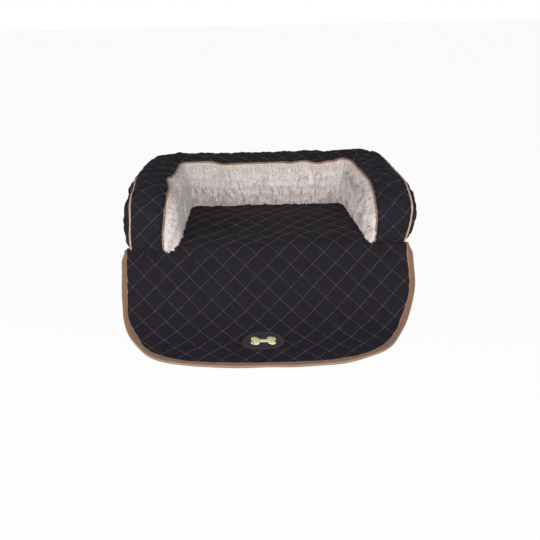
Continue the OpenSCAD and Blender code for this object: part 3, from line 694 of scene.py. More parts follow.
def cloth_lift(x, v):
    """How far the cloth lies off its line.

    The foam makes a crown, the fleece's seam a dip, shallower along the back. A dog has lain a little
    left of the middle, which leaves a hollow, and the front edge stands up as a ridge to its right.
    Gathers, slow waves and the puffs come on top, and the patch presses the puffs flat.
    """
    inside = np.clip(-v / (30 * MM), 0, 1)
    half = np.interp(FRONT_Y + np.clip(-v, 0, None), edge_line[:, 1], np.abs(edge_line[:, 0]))
    to_fleece = np.minimum(half - np.abs(x), SEAT_DEPTH + v)
    from_back = smooth((SEAT_DEPTH + v) / BACK_FADE)
    crown = CROWN * arch((to_fleece / CROWN_W).clip(0, 0.5), 0.8)
    crown = crown * smooth(-v / CROWN_FADE) * from_back
    dip = BACK_DIP + (SIDE_DIP - BACK_DIP) * from_back
    dip = -dip * (1 - smooth(to_fleece / DIP_W)) * inside
    wave = 1.3 * MM * ripple(x, v, 150 * MM, 3) + 0.7 * MM * ripple(x, v, 55 * MM, 4)
    uneven = (1 + 0.22 * ripple(x, v, 90 * MM, 5)) * (0.7 + 0.3 * smooth(-v / (50 * MM)))
    free = smooth((from_patch(x, v) - PATCH_PRESS[0]) / (PATCH_PRESS[1] - PATCH_PRESS[0]))
    puff = PUFF * uneven * puffed(*before_sewing(x, v), SEAT_START) * free
    return crown + dip + hollow(x, v) + mound(x, v, RIDGE) + gathers(x, v) + wave + puff


cloth_line = along(flat_x, flat_v, 0 * flat_x)
quilt_x, quilt_v = before_sewing(flat_x, flat_v)
cloth_flat = np.stack([quilt_x, quilt_v], -1)
blown = stuffed(cloth_line, quilting_pins(quilt_x, quilt_v, SEAT_START), flip=True, most=3.5 * MM)
on_floor = flat_v > HANG + 30 * MM
lowest = np.where(on_floor, cloth_line[..., 2] - 0.3 * MM, -1)
blown[..., 2] = np.maximum(blown[..., 2], lowest)
cloth_out = grid_normals(cloth_line, flip=True)
cloth_top = blown + cloth_out * cloth_lift(flat_x, flat_v)[..., None]
cloth_under = cloth_line - cloth_out * CLOTH_T
seat_and_flap = shell(
    "seat_and_flap", cloth_top, cloth_under, cloth_flat, keep=cloth_keep, flip=True
)
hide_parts("seat_panel", "flap_face", "flap_hem")
print("seat and flap:", len(seat_and_flap.data.polygons), "faces")

# %% [markdown]
# The patch is sewn over the quilting a little left of the middle, so no stitches run under it.

# %% Seat stitches
def under_patch(points):
    """True where a quilting point lies under the oval patch, whose middle lay elsewhere in quilting."""
    middle_x, middle_v = before_sewing(PATCH_X, PATCH_V)
    return from_patch(points[:, 0] - middle_x + PATCH_X, points[:, 1] - middle_v + PATCH_V) < 1


seat_stitches = sew(
    "seat_stitches", cloth_top, cloth_flat, SEAT_START, keep=cloth_keep, flip=True, skip=under_patch
)

# %% [markdown]
# The flap's edge is bound with a soft brushed tape, folded over the cloth's edge. Its section is a
# flattened loop: a low dome on top, a round outer edge and a flat back. The path is the pattern's own
# edge, so the binding follows the cloth exactly, and it waves slightly where the tape was pulled.

# %% Edge path of the flap
LEFT_START = 6 * MM


def edge_path(spacing):
    """The flap's flat edge from the left seam round to the right, its outward side and its length."""
    t = np.linspace(0, 1, 1500)
    left = np.stack([-WING_LEFT + 0 * t, LEFT_START + (FLAP_L - LEFT_START) * t], 1)
    bottom = np.stack([-WING_LEFT + (WING_LEFT + WING_RIGHT) * t, FLAP_L + 0 * t], 1)
    right = np.stack([WING_RIGHT + 0 * t, FLAP_L * (1 - t)], 1)
    square = np.concatenate([left, bottom[1:-1], right])
    path = np.stack(cut_flap(square[:, 0], square[:, 1]), 1)
    gone = walked(path)
    even = np.linspace(0, gone[-1], steps(gone[-1], spacing) + 1)
    path = np.stack([np.interp(even, gone, path[:, k]) for k in (0, 1)], 1)
    ahead = unit(np.gradient(path, axis=0))
    outward = np.stack([-ahead[:, 1], ahead[:, 0]], 1)
    return path, outward, even


def loop_sweep(name, rings, uv_width, length):
    """A closed band from rings of points, with one face as a cap at each end."""
    n, k = rings.shape[:2]
    caps = [list(range(k))[::-1], list(range((n - 1) * k, n * k))]

    def corner_uv(corner):
        return np.stack([corner % k / k * uv_width, length[corner // k]], 1)

    return mesh_piece(name, rings, ring_quads(n, k).tolist() + caps, corner_uv)


BINDING_ROUND = 40 * MM
edge_flat, edge_out, edge_len = edge_path(4 * MM)
ring_d = np.array([-1.8, -2.0, -0.5, 3.2, 7.3, 11.0, 13.6, 14.2, 13.4, 10, 5.5, 0]) * MM
ring_z = np.array([-2.2, 0.4, 1.6, 2.3, 2.4, 1.6, 0.0, -2.2, -4.0, -4.5, -4.7, -4.5]) * MM
tapered = 0.4 + 0.6 * smooth(np.minimum(edge_len, edge_len[-1] - edge_len) / (34 * MM))
sway = tapered * (1 + 0.12 * ripple(edge_len, 0, 120 * MM, 11))
fat = 1 + 0.22 * ripple(edge_len, 0, 45 * MM, 12)
ring_flat = edge_flat[:, None] + edge_out[:, None] * (ring_d * sway[:, None])[..., None]
ring_lift = np.where(ring_z > -2 * MM, ring_z * fat[:, None], ring_z)
ring_points = along(ring_flat[..., 0], ring_flat[..., 1], ring_lift)
binding = loop_sweep("flap_edge_binding", ring_points, BINDING_ROUND, edge_len)
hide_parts("flap_binding")
print("the binding is", round(edge_len[-1], 3), "m long")

# %% [markdown]
# The flap's underside is a plain lining that lies on the floor, cut a little smaller than the quilted
# cloth so that its edge hides inside the binding.

# %% Flap lining
LINING_SHARE = 0.998
first_row = np.searchsorted(cloth_v, 0.0)
lining_x = flat_x[first_row::2, ::2] * LINING_SHARE
lining_v = flat_v[first_row::2, ::2] * LINING_SHARE + 1 * MM
lining_top = along(lining_x, lining_v, -CLOTH_T - 0.25 * MM)
lining_under = along(lining_x, lining_v, -CLOTH_T - LINING_T)
lining_flat = np.stack([lining_x, lining_v], -1)
flap_underside = shell("flap_underside", lining_top, lining_under, lining_flat, flip=True)
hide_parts("flap_lining")


# %% [markdown]
# The bolsters are strips between the inner and the outer piping, like the gusset of a sofa's arm. Each
# strip is a ruled surface between two rails, pushed out by its filling and then quilted. Its rows keep
# equal steps along the outer rail, so that the diamonds stay regular over the rounded shoulder.

# %% Stations along the rails
def stations(part, first, cell=CELL):
    """Zones q and sides for rows along a bolster, in equal steps along its outer rail.

    A part is one or two runs, each with its side and its first and last zone. The back runs from the
    left corner to the right one, and "round" runs from the left arm's front right round the bed.
    """
    runs = {
        "left": [(-1, first, ARM)],
        "right": [(1, first, ARM)],
        "back": [(-1, ARM, MIDDLE), (1, MIDDLE, ARM)],
        "round": [(-1, first, MIDDLE), (1, MIDDLE, first)],
    }[part]
    dense = np.linspace(0, MIDDLE, 4000)
    zones, sides = [], []
    for side, a, b in runs:
        walk = walked(rail("left_outer" if side < 0 else "right_outer", dense)[0])
        ends = np.interp([a, b], dense, walk)
        q = np.interp(np.linspace(*ends, steps(abs(ends[1] - ends[0]), cell) + 1), walk, dense)
        q = q[1:] if zones else q
        zones.append(q)
        sides.append(np.full(len(q), side))
    return np.concatenate(zones), np.concatenate(sides)


def rail_at(kind, q, side):
    """A rail's points and outward directions where rows may lie on either side of the bed."""
    left, right = rail("left_" + kind, q), rail("right_" + kind, q)
    pick = side[:, None] < 0
    return [np.where(pick, a, b) for a, b in zip(left, right)]


def flat_lengths(points):
    """Flat coordinates of a grid: distance along the middle column, and across from the middle."""
    rows, cols = points.shape[:2]
    v = walked(points[:, cols // 2])
    across = np.linalg.norm(np.diff(points, axis=1), axis=-1)
    u = np.concatenate([np.zeros((rows, 1)), np.cumsum(across, axis=1)], axis=1)
    u = u - u[:, [-1]] / 2
    return np.stack([u, np.broadcast_to(v[:, None], u.shape)], -1)


# %% [markdown]
# A quilted panel is made the same way wherever it sits: the cloth solver puckers the bare surface, the
# puffs are added along its normals, and the shell and its stitches follow.

# %% Quilted panel
FIRST_SEED = 20


def quilted(name, points, start, flip, seed, depth=3.2 * MM, spare=0.03, zone=None):
    """Blows, puffs, closes and stitches one panel. A zone function says where it must stay flat."""
    rows, cols = points.shape[:2]
    flat = flat_lengths(points)
    u, v = flat[..., 0], flat[..., 1]
    free = zone(points) if zone else np.ones((rows, cols))
    pins = np.maximum(quilting_pins(u, v, start), 1 - free)
    blown = stuffed(points, pins, flip, spare=spare)
    out = grid_normals(points, flip)
    fade = from_edge(rows, cols, 2.5, 2.5) * free
    lift = PUFF * (1 + 0.25 * ripple(u, v, 85 * MM, seed)) * puffed(u, v, start) * fade
    lift = lift + 1 * MM * ripple(u, v, 60 * MM, seed + 50) * fade
    top = blown + out * lift[..., None]
    under = points - out * depth * np.maximum(fade, 0.15)[..., None]
    panel = shell(name, top, under, flat, flip=flip)
    return [panel, sew(name + "_stitches", top, flat, start, flip=flip)]


# %% [markdown]
# A strip's crown is highest where the filling is pressed together, and each part has its own height,
# skew toward one rail and fullness. Where a bolster bends, the cloth folds across the strip.

# %% Bolster tops
FRONT_CROWN = 10 * MM
CROWNS = {"left": (20 * MM, 1.4, 0.6), "back": (17 * MM, 1.2, 0.6), "right": (14 * MM, 0.85, 0.8)}
CREASES = {  # distance along the strip in mm, slant, and height in mm
    "left": ((118, 0.25, 3.0), (131, 0.1, -2.8), (142, 0.3, 2.6),
             (160, -0.1, -2.2), (178, 0.2, 2.4), (198, -0.2, -2.0)),
    "back": ((14, 0.9, -2.4), (40, 0.6, 2.2), (470, -0.7, 2.6), (500, -0.9, -2.6), (525, -0.8, 2.4)),
    "right": ((214, 0.5, -2.6), (236, 0.7, 2.6), (255, 0.3, -2.2), (283, 0.5, 2.4), (306, 0.6, -2.2)),
}
CREASE_W = 5 * MM


def creases(part, flat):
    """Folds across a strip where the filling bends: ridges at distances v, slanted across the strip."""
    u, v = flat[..., 0], flat[..., 1]
    return sum(
        height * MM * bell(v + slant * u, place * MM, CREASE_W)
        for place, slant, height in CREASES[part]
    )


def top_strip(part):
    """The strip between the inner and outer rails, crowned upward on top and forward in front."""
    q, side = stations(part, 0)
    inner, _ = rail_at("inner", q, side)
    outer, _ = rail_at("outer", q, side)
    width = np.linalg.norm(outer - inner, axis=1).max()
    share = np.linspace(0, 1, steps(width, CELL) + 1)[None, :, None]
    points = inner[:, None] * (1 - share) + outer[:, None] * share
    over = (np.clip(q - 1, 0, 1) * np.pi / 2)[:, None]
    push = np.concatenate([0 * over, -np.cos(over), np.sin(over)], 1)
    on_top, to_back = smooth((q - 1.5) / 0.9)[:, None], smooth((q - 2.6) / 0.9)[:, None]
    crown, skew, fullness = CROWNS[part]
    skew = 1 + (skew - 1) * on_top
    crown, skew, fullness = (
        own + (back - own) * to_back for own, back in zip((crown, skew, fullness), CROWNS["back"])
    )
    crown = (FRONT_CROWN + (crown - FRONT_CROWN) * on_top) * smooth(q / 0.22)[:, None]
    points = points + push[:, None] * (crown * arch(share[..., 0] ** skew, fullness))[..., None]
    folds = creases(part, flat_lengths(points)) * arch(share[..., 0], 0.5)
    return points + push[:, None] * folds[..., None] + [0, 0, SEAT_Z]


bolsters = []
for part, u, v, cad_node in (
    ("left", -12.8, 20, "left_arm_cover"), ("back", 0, 11, "back_cover"),
    ("right", 0, 50, "right_arm_cover"),
):
    bolsters += quilted(
        part + "_top", top_strip(part), (u * MM, v * MM), part != "right", FIRST_SEED + len(bolsters)
    )
    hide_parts(cad_node)

# %% [markdown]
# The outer panels hang from the outer piping to the base's top edge. They start at the upright piping
# on the arm's front, so the first rows are bent to that upright, and the filling pushes them outward.

# %% Outer panels
BULGES = {"left": 17 * MM, "back": 17 * MM, "right": 20 * MM}
FULLNESS = {"left": 0.3, "back": 0.48, "right": 0.48}
BEND_FADE, FRONT_FADE = 90 * MM, 26 * MM


def curtain(part, head, foot, foot_z, bulge, inward=False, cell=CELL):
    """A panel between a head rail and a foot rail, bowed outward, or inward on the fleece's side."""
    q, side = stations(part, 1, cell)
    top, outward = rail_at(head, q, side)
    bottom, _ = rail_at(foot, q, side)
    bottom = bottom * [1, 1, 0] + [0, 0, foot_z - SEAT_Z]
    height = np.linalg.norm(top - bottom, axis=1).max()
    share = np.linspace(0, 1, steps(height, cell) + 1)[None, :, None]
    points = bottom[:, None] * (1 - share) + top[:, None] * share
    if part != "back":
        upright = rail_at(head, share[0, :, 0], np.full(share.shape[1], side[0]))[0]
        bend = upright - points[0]
        fade = 1 - smooth((points[..., 1].mean(1) - points[0, :, 1].mean()) / BEND_FADE)
        points = points + fade[:, None, None] * bend
        near = smooth((points[..., 1] - FRONT_Y) / FRONT_FADE) ** 0.5
    else:
        near = 1
    if not inward:
        bulge = (bulge + (BULGES["back"] - bulge) * smooth((q - 2.4) / 0.9))[:, None]
    bow = bulge * arch(share[..., 0], FULLNESS[part]) * near
    bow = -bow if inward else bow
    return points + bow[..., None] * outward[:, None] + [0, 0, SEAT_Z]


for part, v, cad_node in (
    ("left", 12, "left_side_panel"), ("back", 16, "back_panel"), ("right", 22, "right_side_panel")
):
    points = curtain(part, "outer", "foot", DECK_Z, BULGES[part])
    seed = FIRST_SEED + len(bolsters)
    bolsters += quilted(part + "_side", points, (0, v * MM), part == "right", seed, spare=0.02)
    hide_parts(cad_node)
print("bolster panels:", [b.name for b in bolsters[::2]])


# %% [markdown]
# The base's walls stand on the floor and carry the zip at the back. They are the same quilted cloth,
# held flat by the foam block inside, so their bulge and their puffs are small, and there are no puffs
# where the zip is sewn in. The front wall hides behind the flap.

# %% Base walls
WALL_FOOT = 3 * MM
tape_low, tape_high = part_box("zip_tape")


def wall_points():
    """The grid of the base's sides and back: the foot rail's plan, from the floor to the deck."""
    q, side = stations("round", 1)
    line, outward = rail_at("foot", q, side)
    share = np.linspace(0, 1, steps(DECK_Z, CELL) + 1)
    upward = np.outer(WALL_FOOT + (DECK_Z - WALL_FOOT) * share, [0, 0, 1])
    points = (line * [1, 1, 0])[:, None] + upward
    in_back = smooth((points[..., 1] - BACK_Y + 70 * MM) / (60 * MM))
    bow = 4 * MM * arch(share)[None, :] * (1 - in_back)
    return points + (bow - 2.2 * MM)[..., None] * outward[:, None]


def beside_zip(points):
    """1 away from the zip and 0 on it, so that the cloth lies flat under the tape."""
    off_x = np.abs(points[..., 0]) - tape_high.x
    off_z = np.abs(points[..., 2] - (tape_low.z + tape_high.z) / 2) - (tape_high.z - tape_low.z) / 2
    off = np.where(points[..., 1] > BACK_Y - 20 * MM, np.maximum(off_x, off_z), 1)
    return smooth(off / (12 * MM))


walls = quilted(
    "base_sides", wall_points(), (0, 25 * MM), False, 61, depth=2 * MM, spare=0.01, zone=beside_zip
)
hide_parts("base_boxing")
front_low, front_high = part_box("front_panel")
front_x = np.linspace(front_low.x, front_high.x, steps(front_high.x - front_low.x, CELL) + 1)
front_z = np.linspace(WALL_FOOT, front_high.z - MM, steps(front_high.z, CELL) + 1)
front_points = np.broadcast_arrays(front_x[:, None], FRONT_Y + 2.6 * MM, front_z[None, :])
front_points = np.stack(front_points, -1)
front = quilted("front_wall", front_points, (0, 25 * MM), True, 62, depth=2 * MM, spare=0.01)
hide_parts("front_panel")

# %% [markdown]
# The sofa's inner faces are curly fleece. A woven backing, bowed toward the dog by the filling, carries
# the pile. Each tuft is a tapered curl, an arc of a circle that starts out of the cloth and bends
# over. Neighbouring tufts draw together into locks: round curls low on the back, where the dog rubs
# them up, and long slanted ones on the arms, where the pile is brushed down. At the foot they hang
# over the seat in lobes.

# %% Fleece
PILE, LOCK, LOBE = 15 * MM, 14 * MM, 22 * MM
BRUSHED = {"left": (3.0, 0.6), "back": (1.6, 0.0), "right": (3.0, -0.6)}  # stretch and slant
SCATTER = (12.9898, 78.233, 43758.5453), (39.346, 11.135, 24634.6345)
LOCK_FADE = 3.2


def locks(u, v, stretch, slant, seed):
    """The way from a tuft's foot to its lock's middle, how near it is, and one random share per lock.

    The locks are the cells of a slanted lattice, longer than wide by the stretch. Each cell's middle
    is jittered by the fraction of a large sine, which is random but the same for all its tufts.
    """
    long, wide = LOCK * stretch, LOCK / math.sqrt(stretch)
    cosine, sine = math.cos(slant), math.sin(slant)
    a, b = u * cosine - v * sine, u * sine + v * cosine
    cell_a, cell_b = np.floor(a / long), np.floor(b / wide)
    random_a, random_b = (
        np.sin(cell_a * first + cell_b * second + seed) * large % 1 for first, second, large in SCATTER
    )
    to_a = (cell_a + 0.25 + 0.5 * random_a) * long - a
    to_b = (cell_b + 0.25 + 0.5 * random_b) * wide - b
    near = np.exp(-((to_a / long) ** 2 + (to_b / wide) ** 2) * LOCK_FADE)
    return 0.5 * to_a * cosine + to_b * sine, to_b * cosine - 0.5 * to_a * sine, near, random_a


TUFT_RINGS, TUFT_CORNERS = 5, 3
FOOT_CELLS, END_CELLS, LONG_END_CELLS = 3.5, 5, 16
LOBE_OUT, LOBE_UP = 10 * MM, 3 * MM
DRIFT, UNEVEN = 1.2, 2.4


def curls(root, up, tangent, pull, length, start, curl, width):
    """Points of curled tufts: rings of three points each along an arc of a circle.

    The direction turns from the cloth's normal toward the lean, and the line is found by adding up
    its steps. Each tuft is pulled toward its lock by the way to its tip, to the power one and a half.
    """
    share = np.arange(TUFT_RINGS) / (TUFT_RINGS - 1)
    angle = start[:, None] + curl[:, None] * share
    step = length[:, None] / (TUFT_RINGS - 1)
    rise, run = (np.cumsum(f(angle) * step, 1) - f(angle) * step for f in (np.cos, np.sin))
    line = root[:, None] + up[:, None] * (rise - MM)[..., None] + tangent[:, None] * run[..., None]
    line = line + pull[:, None] * share[:, None] ** 1.5
    across = np.cross(tangent, up)
    ahead = up[:, None] * np.cos(angle)[..., None] + tangent[:, None] * np.sin(angle)[..., None]
    third = np.cross(ahead, across[:, None])
    turn = np.arange(TUFT_CORNERS)[:, None] * 2 * np.pi / TUFT_CORNERS
    ring = across[:, None, None] * np.cos(turn) + 0.55 * third[:, :, None] * np.sin(turn)
    return line[:, :, None] + ring * (width[:, None] * (2.3 - 1.7 * share) * MM)[..., None, None]


def tufts(points, flip, count, seed, part):
    """Curled tufts on a grid of points, with each point's way to the tip and its tuft's tint.

    Where the pile is ruffled, the tufts curl more and lean more unevenly. At the foot they start
    lower and further out, lobe by lobe, and toward the ends of a face they grow short and upright.
    """
    random = np.random.default_rng(seed)
    rows, cols = points.shape[:2]
    r, c = random.uniform(0.3, rows - 1.3, count), random.uniform(0.0, cols - 1.2, count)
    grids = points, grid_normals(points, flip), *np.gradient(points, axis=(0, 1))
    root, up, side, rise = (read_grid(grid, r, c) for grid in grids)
    u, v = read_grid(flat_lengths(points), r, c).T
    side = unit(side)
    rise = unit(rise - side * (rise * side).sum(1, keepdims=True))
    stretch, slant = BRUSHED[part]
    to_u, to_v, near, tint = locks(u, v, stretch, slant, seed)
    head, from_end = cols - 1 - c, np.minimum(r, rows - 1 - r)
    end = smooth(from_end / END_CELLS)
    inside = smooth((head - 0.4) / 2.2) * smooth((from_end - 0.3) / 2)
    foot = 1 - smooth(c / FOOT_CELLS)
    spread = foot * smooth(from_end / (END_CELLS if part == "back" else LONG_END_CELLS))
    ruffled = (1 - smooth((c / cols - 0.25) / 0.4)) if part == "back" else 0.25 + 0 * c
    lobe = np.abs(np.sin(np.pi * v / LOBE + ripple(v, 0, 160 * MM, seed)))
    drift = DRIFT * ripple(u, v, 75 * MM, seed + 1) + UNEVEN * ruffled * (tint - 0.5) + slant
    drift = drift * end * smooth(head / 4) * (1 - 0.8 * foot)
    lean = (drift + random.normal(0, 0.22, count) - np.pi / 2)[:, None]
    tangent = side * np.cos(lean) + rise * np.sin(lean)
    lobe_out = up * (LOBE_OUT * lobe)[:, None] + rise * (LOBE_UP * lobe - MM)[:, None]
    root = root + lobe_out * spread[:, None]
    pull = rise * to_u[:, None] + side * to_v[:, None]
    pull = pull * (inside * (0.4 + 0.6 * ruffled))[:, None]
    length = PILE * random.uniform(0.8, 1.2, count) * (0.25 + 0.75 * inside)
    length = length * (1 + 0.5 * spread * lobe + 0.25 * ruffled) * (0.3 + 0.7 * end)
    curl = random.uniform(0.9, 1.5, count) + ruffled * random.uniform(0.5, 1.5, count)
    start = (random.uniform(0.25, 0.7, count) + 0.3 * (1 - ruffled)) * (1 - 0.6 * spread)
    width = random.uniform(0.7, 1.4, count)
    tuft = curls(root, up, tangent, pull, length, start, curl * (1 - 0.45 * spread), width)
    # Tufts far from their lock's middle stop short of the pale tip colour: painted shade in the gaps
    # between locks.
    shown = 1 - (0.2 + 0.8 * ruffled) * (1 - near) * random.uniform(0.4, 1.3, count)
    tip = np.outer(shown, np.arange(TUFT_RINGS) / (TUFT_RINGS - 1))
    tint = 0.4 * tint + 0.6 * random.uniform(0, 1, count)
    marks = {
        "tip": np.repeat(tip.ravel(), TUFT_CORNERS),
        "tint": np.repeat(tint, TUFT_RINGS * TUFT_CORNERS),
    }
    return tuft.reshape(-1, 3), marks


def fleece(part, count, seed):
    """A fleece face: its bowed backing shell and its tufts joined into one piece."""
    points = curtain(part, "inner", "seat", SEAT_Z - 5 * MM, 15 * MM, inward=True, cell=6 * MM)
    flip = part != "right"
    under = points - grid_normals(points, flip) * 3 * MM
    backing = shell("backing", points, under, flat_lengths(points), flip=flip)
    tuft, marks = tufts(points, flip, count, seed, part)
    cell = ring_quads(TUFT_RINGS, TUFT_CORNERS)[:, ::-1]
    quads = repeated(cell, count, TUFT_RINGS * TUFT_CORNERS)
    piece = new_piece(part + "_pile", tuft, quads, marks=marks, sharp=180)
    with bpy.context.temp_override(active_object=piece, selected_editable_objects=[piece, backing]):
        bpy.ops.object.join()
    print(piece.name, "has", count, "tufts")
    return piece


piles = [fleece("left", 5200, 71), fleece("back", 7200, 72), fleece("right", 4800, 73)]
for pile, node in zip(piles, ("left_fleece", "back_fleece", "right_fleece")):
    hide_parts(node)

# %% [markdown]
# Piping is a cord in a bias-cut satin sleeve, caught in the seam. It runs along the two rails from one
# arm's front round to the other's. Stuffing never pulls a seam quite straight, so it wanders by a
# millimetre, and the sleeve is gathered round the cord in fine rings.

# %% Piping
PIPING_STRAY = 1.1 * MM


def piping(name, kind):
    """A cord along a rail: rings of ten points square to the rail's own direction."""
    q, side = stations("round", 0, 3 * MM)
    line, outward = rail_at(kind, q, side)
    gone = walked(line)
    line = line + outward * (PIPING_STRAY * ripple(gone, 0, 70 * MM, len(name)))[:, None]
    line = line + [0, 0, SEAT_Z + 0.6 * MM]
    line[:, 2] += PIPING_STRAY * ripple(gone, 0, 80 * MM, 9 + len(name))
    ahead = unit(np.gradient(line, axis=0))
    up = unit(np.cross(ahead, outward))
    flat_side = np.cross(up, ahead)
    turn = (np.arange(10) * np.pi / 5)[:, None]
    radius = PIPING_R * (1 + 0.05 * ripple(gone, 0, 11 * MM, 17))[:, None, None]
    ring = flat_side[:, None] * np.cos(turn) + up[:, None] * np.sin(turn)
    return loop_sweep(name, line[:, None] + ring * radius, 2 * np.pi * PIPING_R, gone)


inner_cord = piping("inner_cord", "inner")
outer_cord = piping("outer_cord", "outer")
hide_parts("inner_piping")
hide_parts("outer_piping")

# %% [markdown]
# The patch is an oval of plain cloth with an overcast edge, sewn over the flap's quilting. It carries
# a plain bone in satin stitch: threads laid side by side across the shape, close enough to shine as
# one surface, which is how such a motif is embroidered by machine.

# %% Patch
PATCH_LIFT = 2.6 * MM


def patch_grid(cells):
    """The oval patch's flat coordinates: a square pressed into a disk, then scaled to the oval."""
    side = np.linspace(-1, 1, cells)
    x, v = disk(*np.meshgrid(side, side))
    return np.stack([PATCH_X + x * (PATCH_HALF_W - MM), PATCH_V + v * (PATCH_HALF_H - MM)], -1)


def patch_height(x, v):
    """The patch lies over wadding: a soft dome that comes down to its sewn edge."""
    return PATCH_LIFT + 1.8 * MM * (1 - np.clip(from_patch(x, v), 0, 1) ** 2)


patch_flat = patch_grid(33)
patch_x, patch_v = patch_flat[..., 0], patch_flat[..., 1]
patch_top = along(patch_x, patch_v, patch_height(patch_x, patch_v))
patch_under = along(patch_x, patch_v, 0.6 * MM)
patch_cloth = shell("patch_cloth", patch_top, patch_under, patch_flat, flip=True)
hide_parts("badge_patch")


EDGE_R, EDGE_RIDGES = 1.5 * MM, 0.12


def overcast(rounds=120):
    """The patch's overcast edge: a round ridge along the oval, in two rings for each thread."""
    count = 2 * rounds + 1
    turn = np.linspace(0, 2 * np.pi, count)[:, None]
    radius = EDGE_R * (1 + EDGE_RIDGES * np.cos(np.arange(count) * np.pi))[:, None]
    section = np.arange(8) * np.pi / 4
    out = np.cos(section) * radius
    x = PATCH_X + np.cos(turn) * PATCH_HALF_W + np.cos(turn) * out
    v = PATCH_V + np.sin(turn) * PATCH_HALF_H + np.sin(turn) * out
    rings = along(x, v, PATCH_LIFT - 0.2 * MM + np.sin(section) * radius)[::-1]
    return loop_sweep("patch_edge", rings, 9 * MM, turn[:, 0] * 40 * MM)


patch_edge = overcast()


# %% Bone embroidery
motif_low, motif_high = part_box("badge_motif")
BONE_X, BONE_V, BONE_HALF, _ = on_pattern(motif_low, motif_high)
KNOB_R, KNOB_OFF, SHAFT = 9.5 * MM, 8.0 * MM, 6.2 * MM


def bone_spans(x):
    """Where a bone covers the cross line at x: the shaft, or a knob's circle on each side of it."""
    knob = np.sqrt(max(0, KNOB_R ** 2 - (abs(x) - (BONE_HALF - KNOB_R)) ** 2))
    if knob == 0 or knob > KNOB_OFF:
        reach = max(SHAFT if abs(x) < BONE_HALF - KNOB_R else 0, KNOB_OFF + knob if knob else 0)
        return [(-reach, reach)] if reach else []
    if abs(x) < BONE_HALF - KNOB_R and KNOB_OFF - knob < SHAFT:
        return [(-KNOB_OFF - knob, KNOB_OFF + knob)]
    return [(-KNOB_OFF - knob, -KNOB_OFF + knob), (KNOB_OFF - knob, KNOB_OFF + knob)]


def satin_threads(pitch=0.62 * MM, slant=0.16):
    """Every satin thread of the bone: rings of four points from one edge over to the other."""
    middles, halves = [], []
    for x in np.arange(-BONE_HALF + pitch / 2, BONE_HALF, pitch):
        for low, high in bone_spans(x):
            middles.append((BONE_X + x, BONE_V + (low + high) / 2))
            halves.append((high - low) / 2)
    middles, halves = np.array(middles), np.array(halves)[:, None]
    share = np.linspace(-1, 1, 7)
    v = middles[:, [1]] + halves * share
    x = middles[:, [0]] + slant * halves * share
    hump = (0.35 + 0.9 * (1 - share ** 4)) * MM * (0.8 + 0.2 * halves / (12 * MM))
    turn = np.arange(4) * np.pi / 2
    across, rise = np.cos(turn) * pitch * 0.62, np.sin(turn) * pitch * 0.62
    lift = (patch_height(x, v) + hump)[..., None] + rise
    points = along(x[..., None] + across, v[..., None], lift)
    n, rings = points.shape[:2]
    last = 4 * rings - 1
    caps = [[0, 1, 2, 3], [last, last - 1, last - 2, last - 3]]
    cell = np.concatenate([ring_quads(rings, 4, turned=True), caps])
    print("the bone has", n, "threads")
    faces = repeated(cell, n, 4 * rings)
    return new_piece("bone_embroidery", points.reshape(-1, 3), faces, sharp=180)


bone_embroidery = satin_threads()
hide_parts("badge_motif")

# %% [markdown]
# Two plain cloths have the plan of the base: the underside, and a lining between the foam and the
# seat, which sags with the foam where the dog lies.

# %% Underside and deck lining
CORNER_R, INSET, DOT_H = 60 * MM, 3 * MM, 1.1 * MM


def plan_grid(z):
    """A flat grid inside the base's plan, with the two back corners rounded like the walls."""
    x, y = np.meshgrid(np.linspace(-1, 1, 60), np.linspace(FRONT_Y + INSET, BACK_Y - INSET, 40))
    from_corner = np.clip((y - (BACK_Y - CORNER_R)) / CORNER_R, 0, 1)
    half = BASE_HALF - CORNER_R * (1 - np.sqrt(1 - from_corner ** 2)) - INSET
    return np.stack([x * half, y, 0 * x + z], -1)


base_top, base_low = plan_grid(DOT_H + 1.5 * MM), plan_grid(DOT_H)
underside_cloth = shell("underside_cloth", base_top, base_low, base_top[..., :2])
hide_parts("grip_base")


def deck_lining():
    """The plan's grid on the foam, lowered by most of the hollow in the seat."""
    deck = plan_grid(DECK_Z - 1 * MM)
    deck[..., 2] += 0.8 * hollow(deck[..., 0], FRONT_Y - deck[..., 1])
    return shell("deck_lining", deck, deck - [0, 0, 1.2 * MM], deck[..., :2])


deck_cloth = deck_lining()
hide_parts("deck_panel")

# %% [markdown]
# Rows of small rubber dots are printed on the underside, so that the bed doesn't slide.

# %% Rubber dots
def rubber_dots(pitch=17 * MM, radius=2.2 * MM):
    """Low domes of rubber in offset rows: a flat foot on the floor, a ring and a base at the cloth."""
    xs = np.arange(-BASE_HALF + 25 * MM, BASE_HALF - 20 * MM, pitch)
    ys = np.arange(FRONT_Y + 20 * MM, BACK_Y - 15 * MM, pitch * 0.866)
    x, y = np.meshgrid(xs, ys)
    x = x + pitch / 2 * (np.arange(len(ys)) % 2)[:, None]
    past_x, past_y = np.abs(x) - (BASE_HALF - CORNER_R), y - (BACK_Y - CORNER_R)
    cut = (past_x > 0) & (past_y > 0) & (np.hypot(past_x, past_y) > CORNER_R - 12 * MM)
    cut |= np.abs(x) > BASE_HALF - 12 * MM
    x, y = x[~cut], y[~cut]
    turn = np.arange(8) * np.pi / 4
    ring = np.stack([np.cos(turn), np.sin(turn), 0 * turn], -1)
    middle = np.stack([x, y, 0 * x], -1)[:, None]
    rings = (radius, DOT_H + 0.3 * MM), (radius * 0.9, DOT_H * 0.45), (radius * 0.5, 0.0)
    points = np.concatenate([middle + ring * r + [0, 0, z] for r, z in rings], 1)
    ends = [[23, 22, 21, 20], [20, 19, 18, 23], [18, 17, 16, 23]]
    ends += [[0, 1, 2, 3], [3, 4, 5, 0], [5, 6, 7, 0]]
    cell = np.concatenate([ring_quads(3, 8, turned=True), ends])
    print(len(x), "rubber dots")
    return new_piece("grip_dots", points.reshape(-1, 3), repeated(cell, len(x), 24))


grip_dots = rubber_dots()

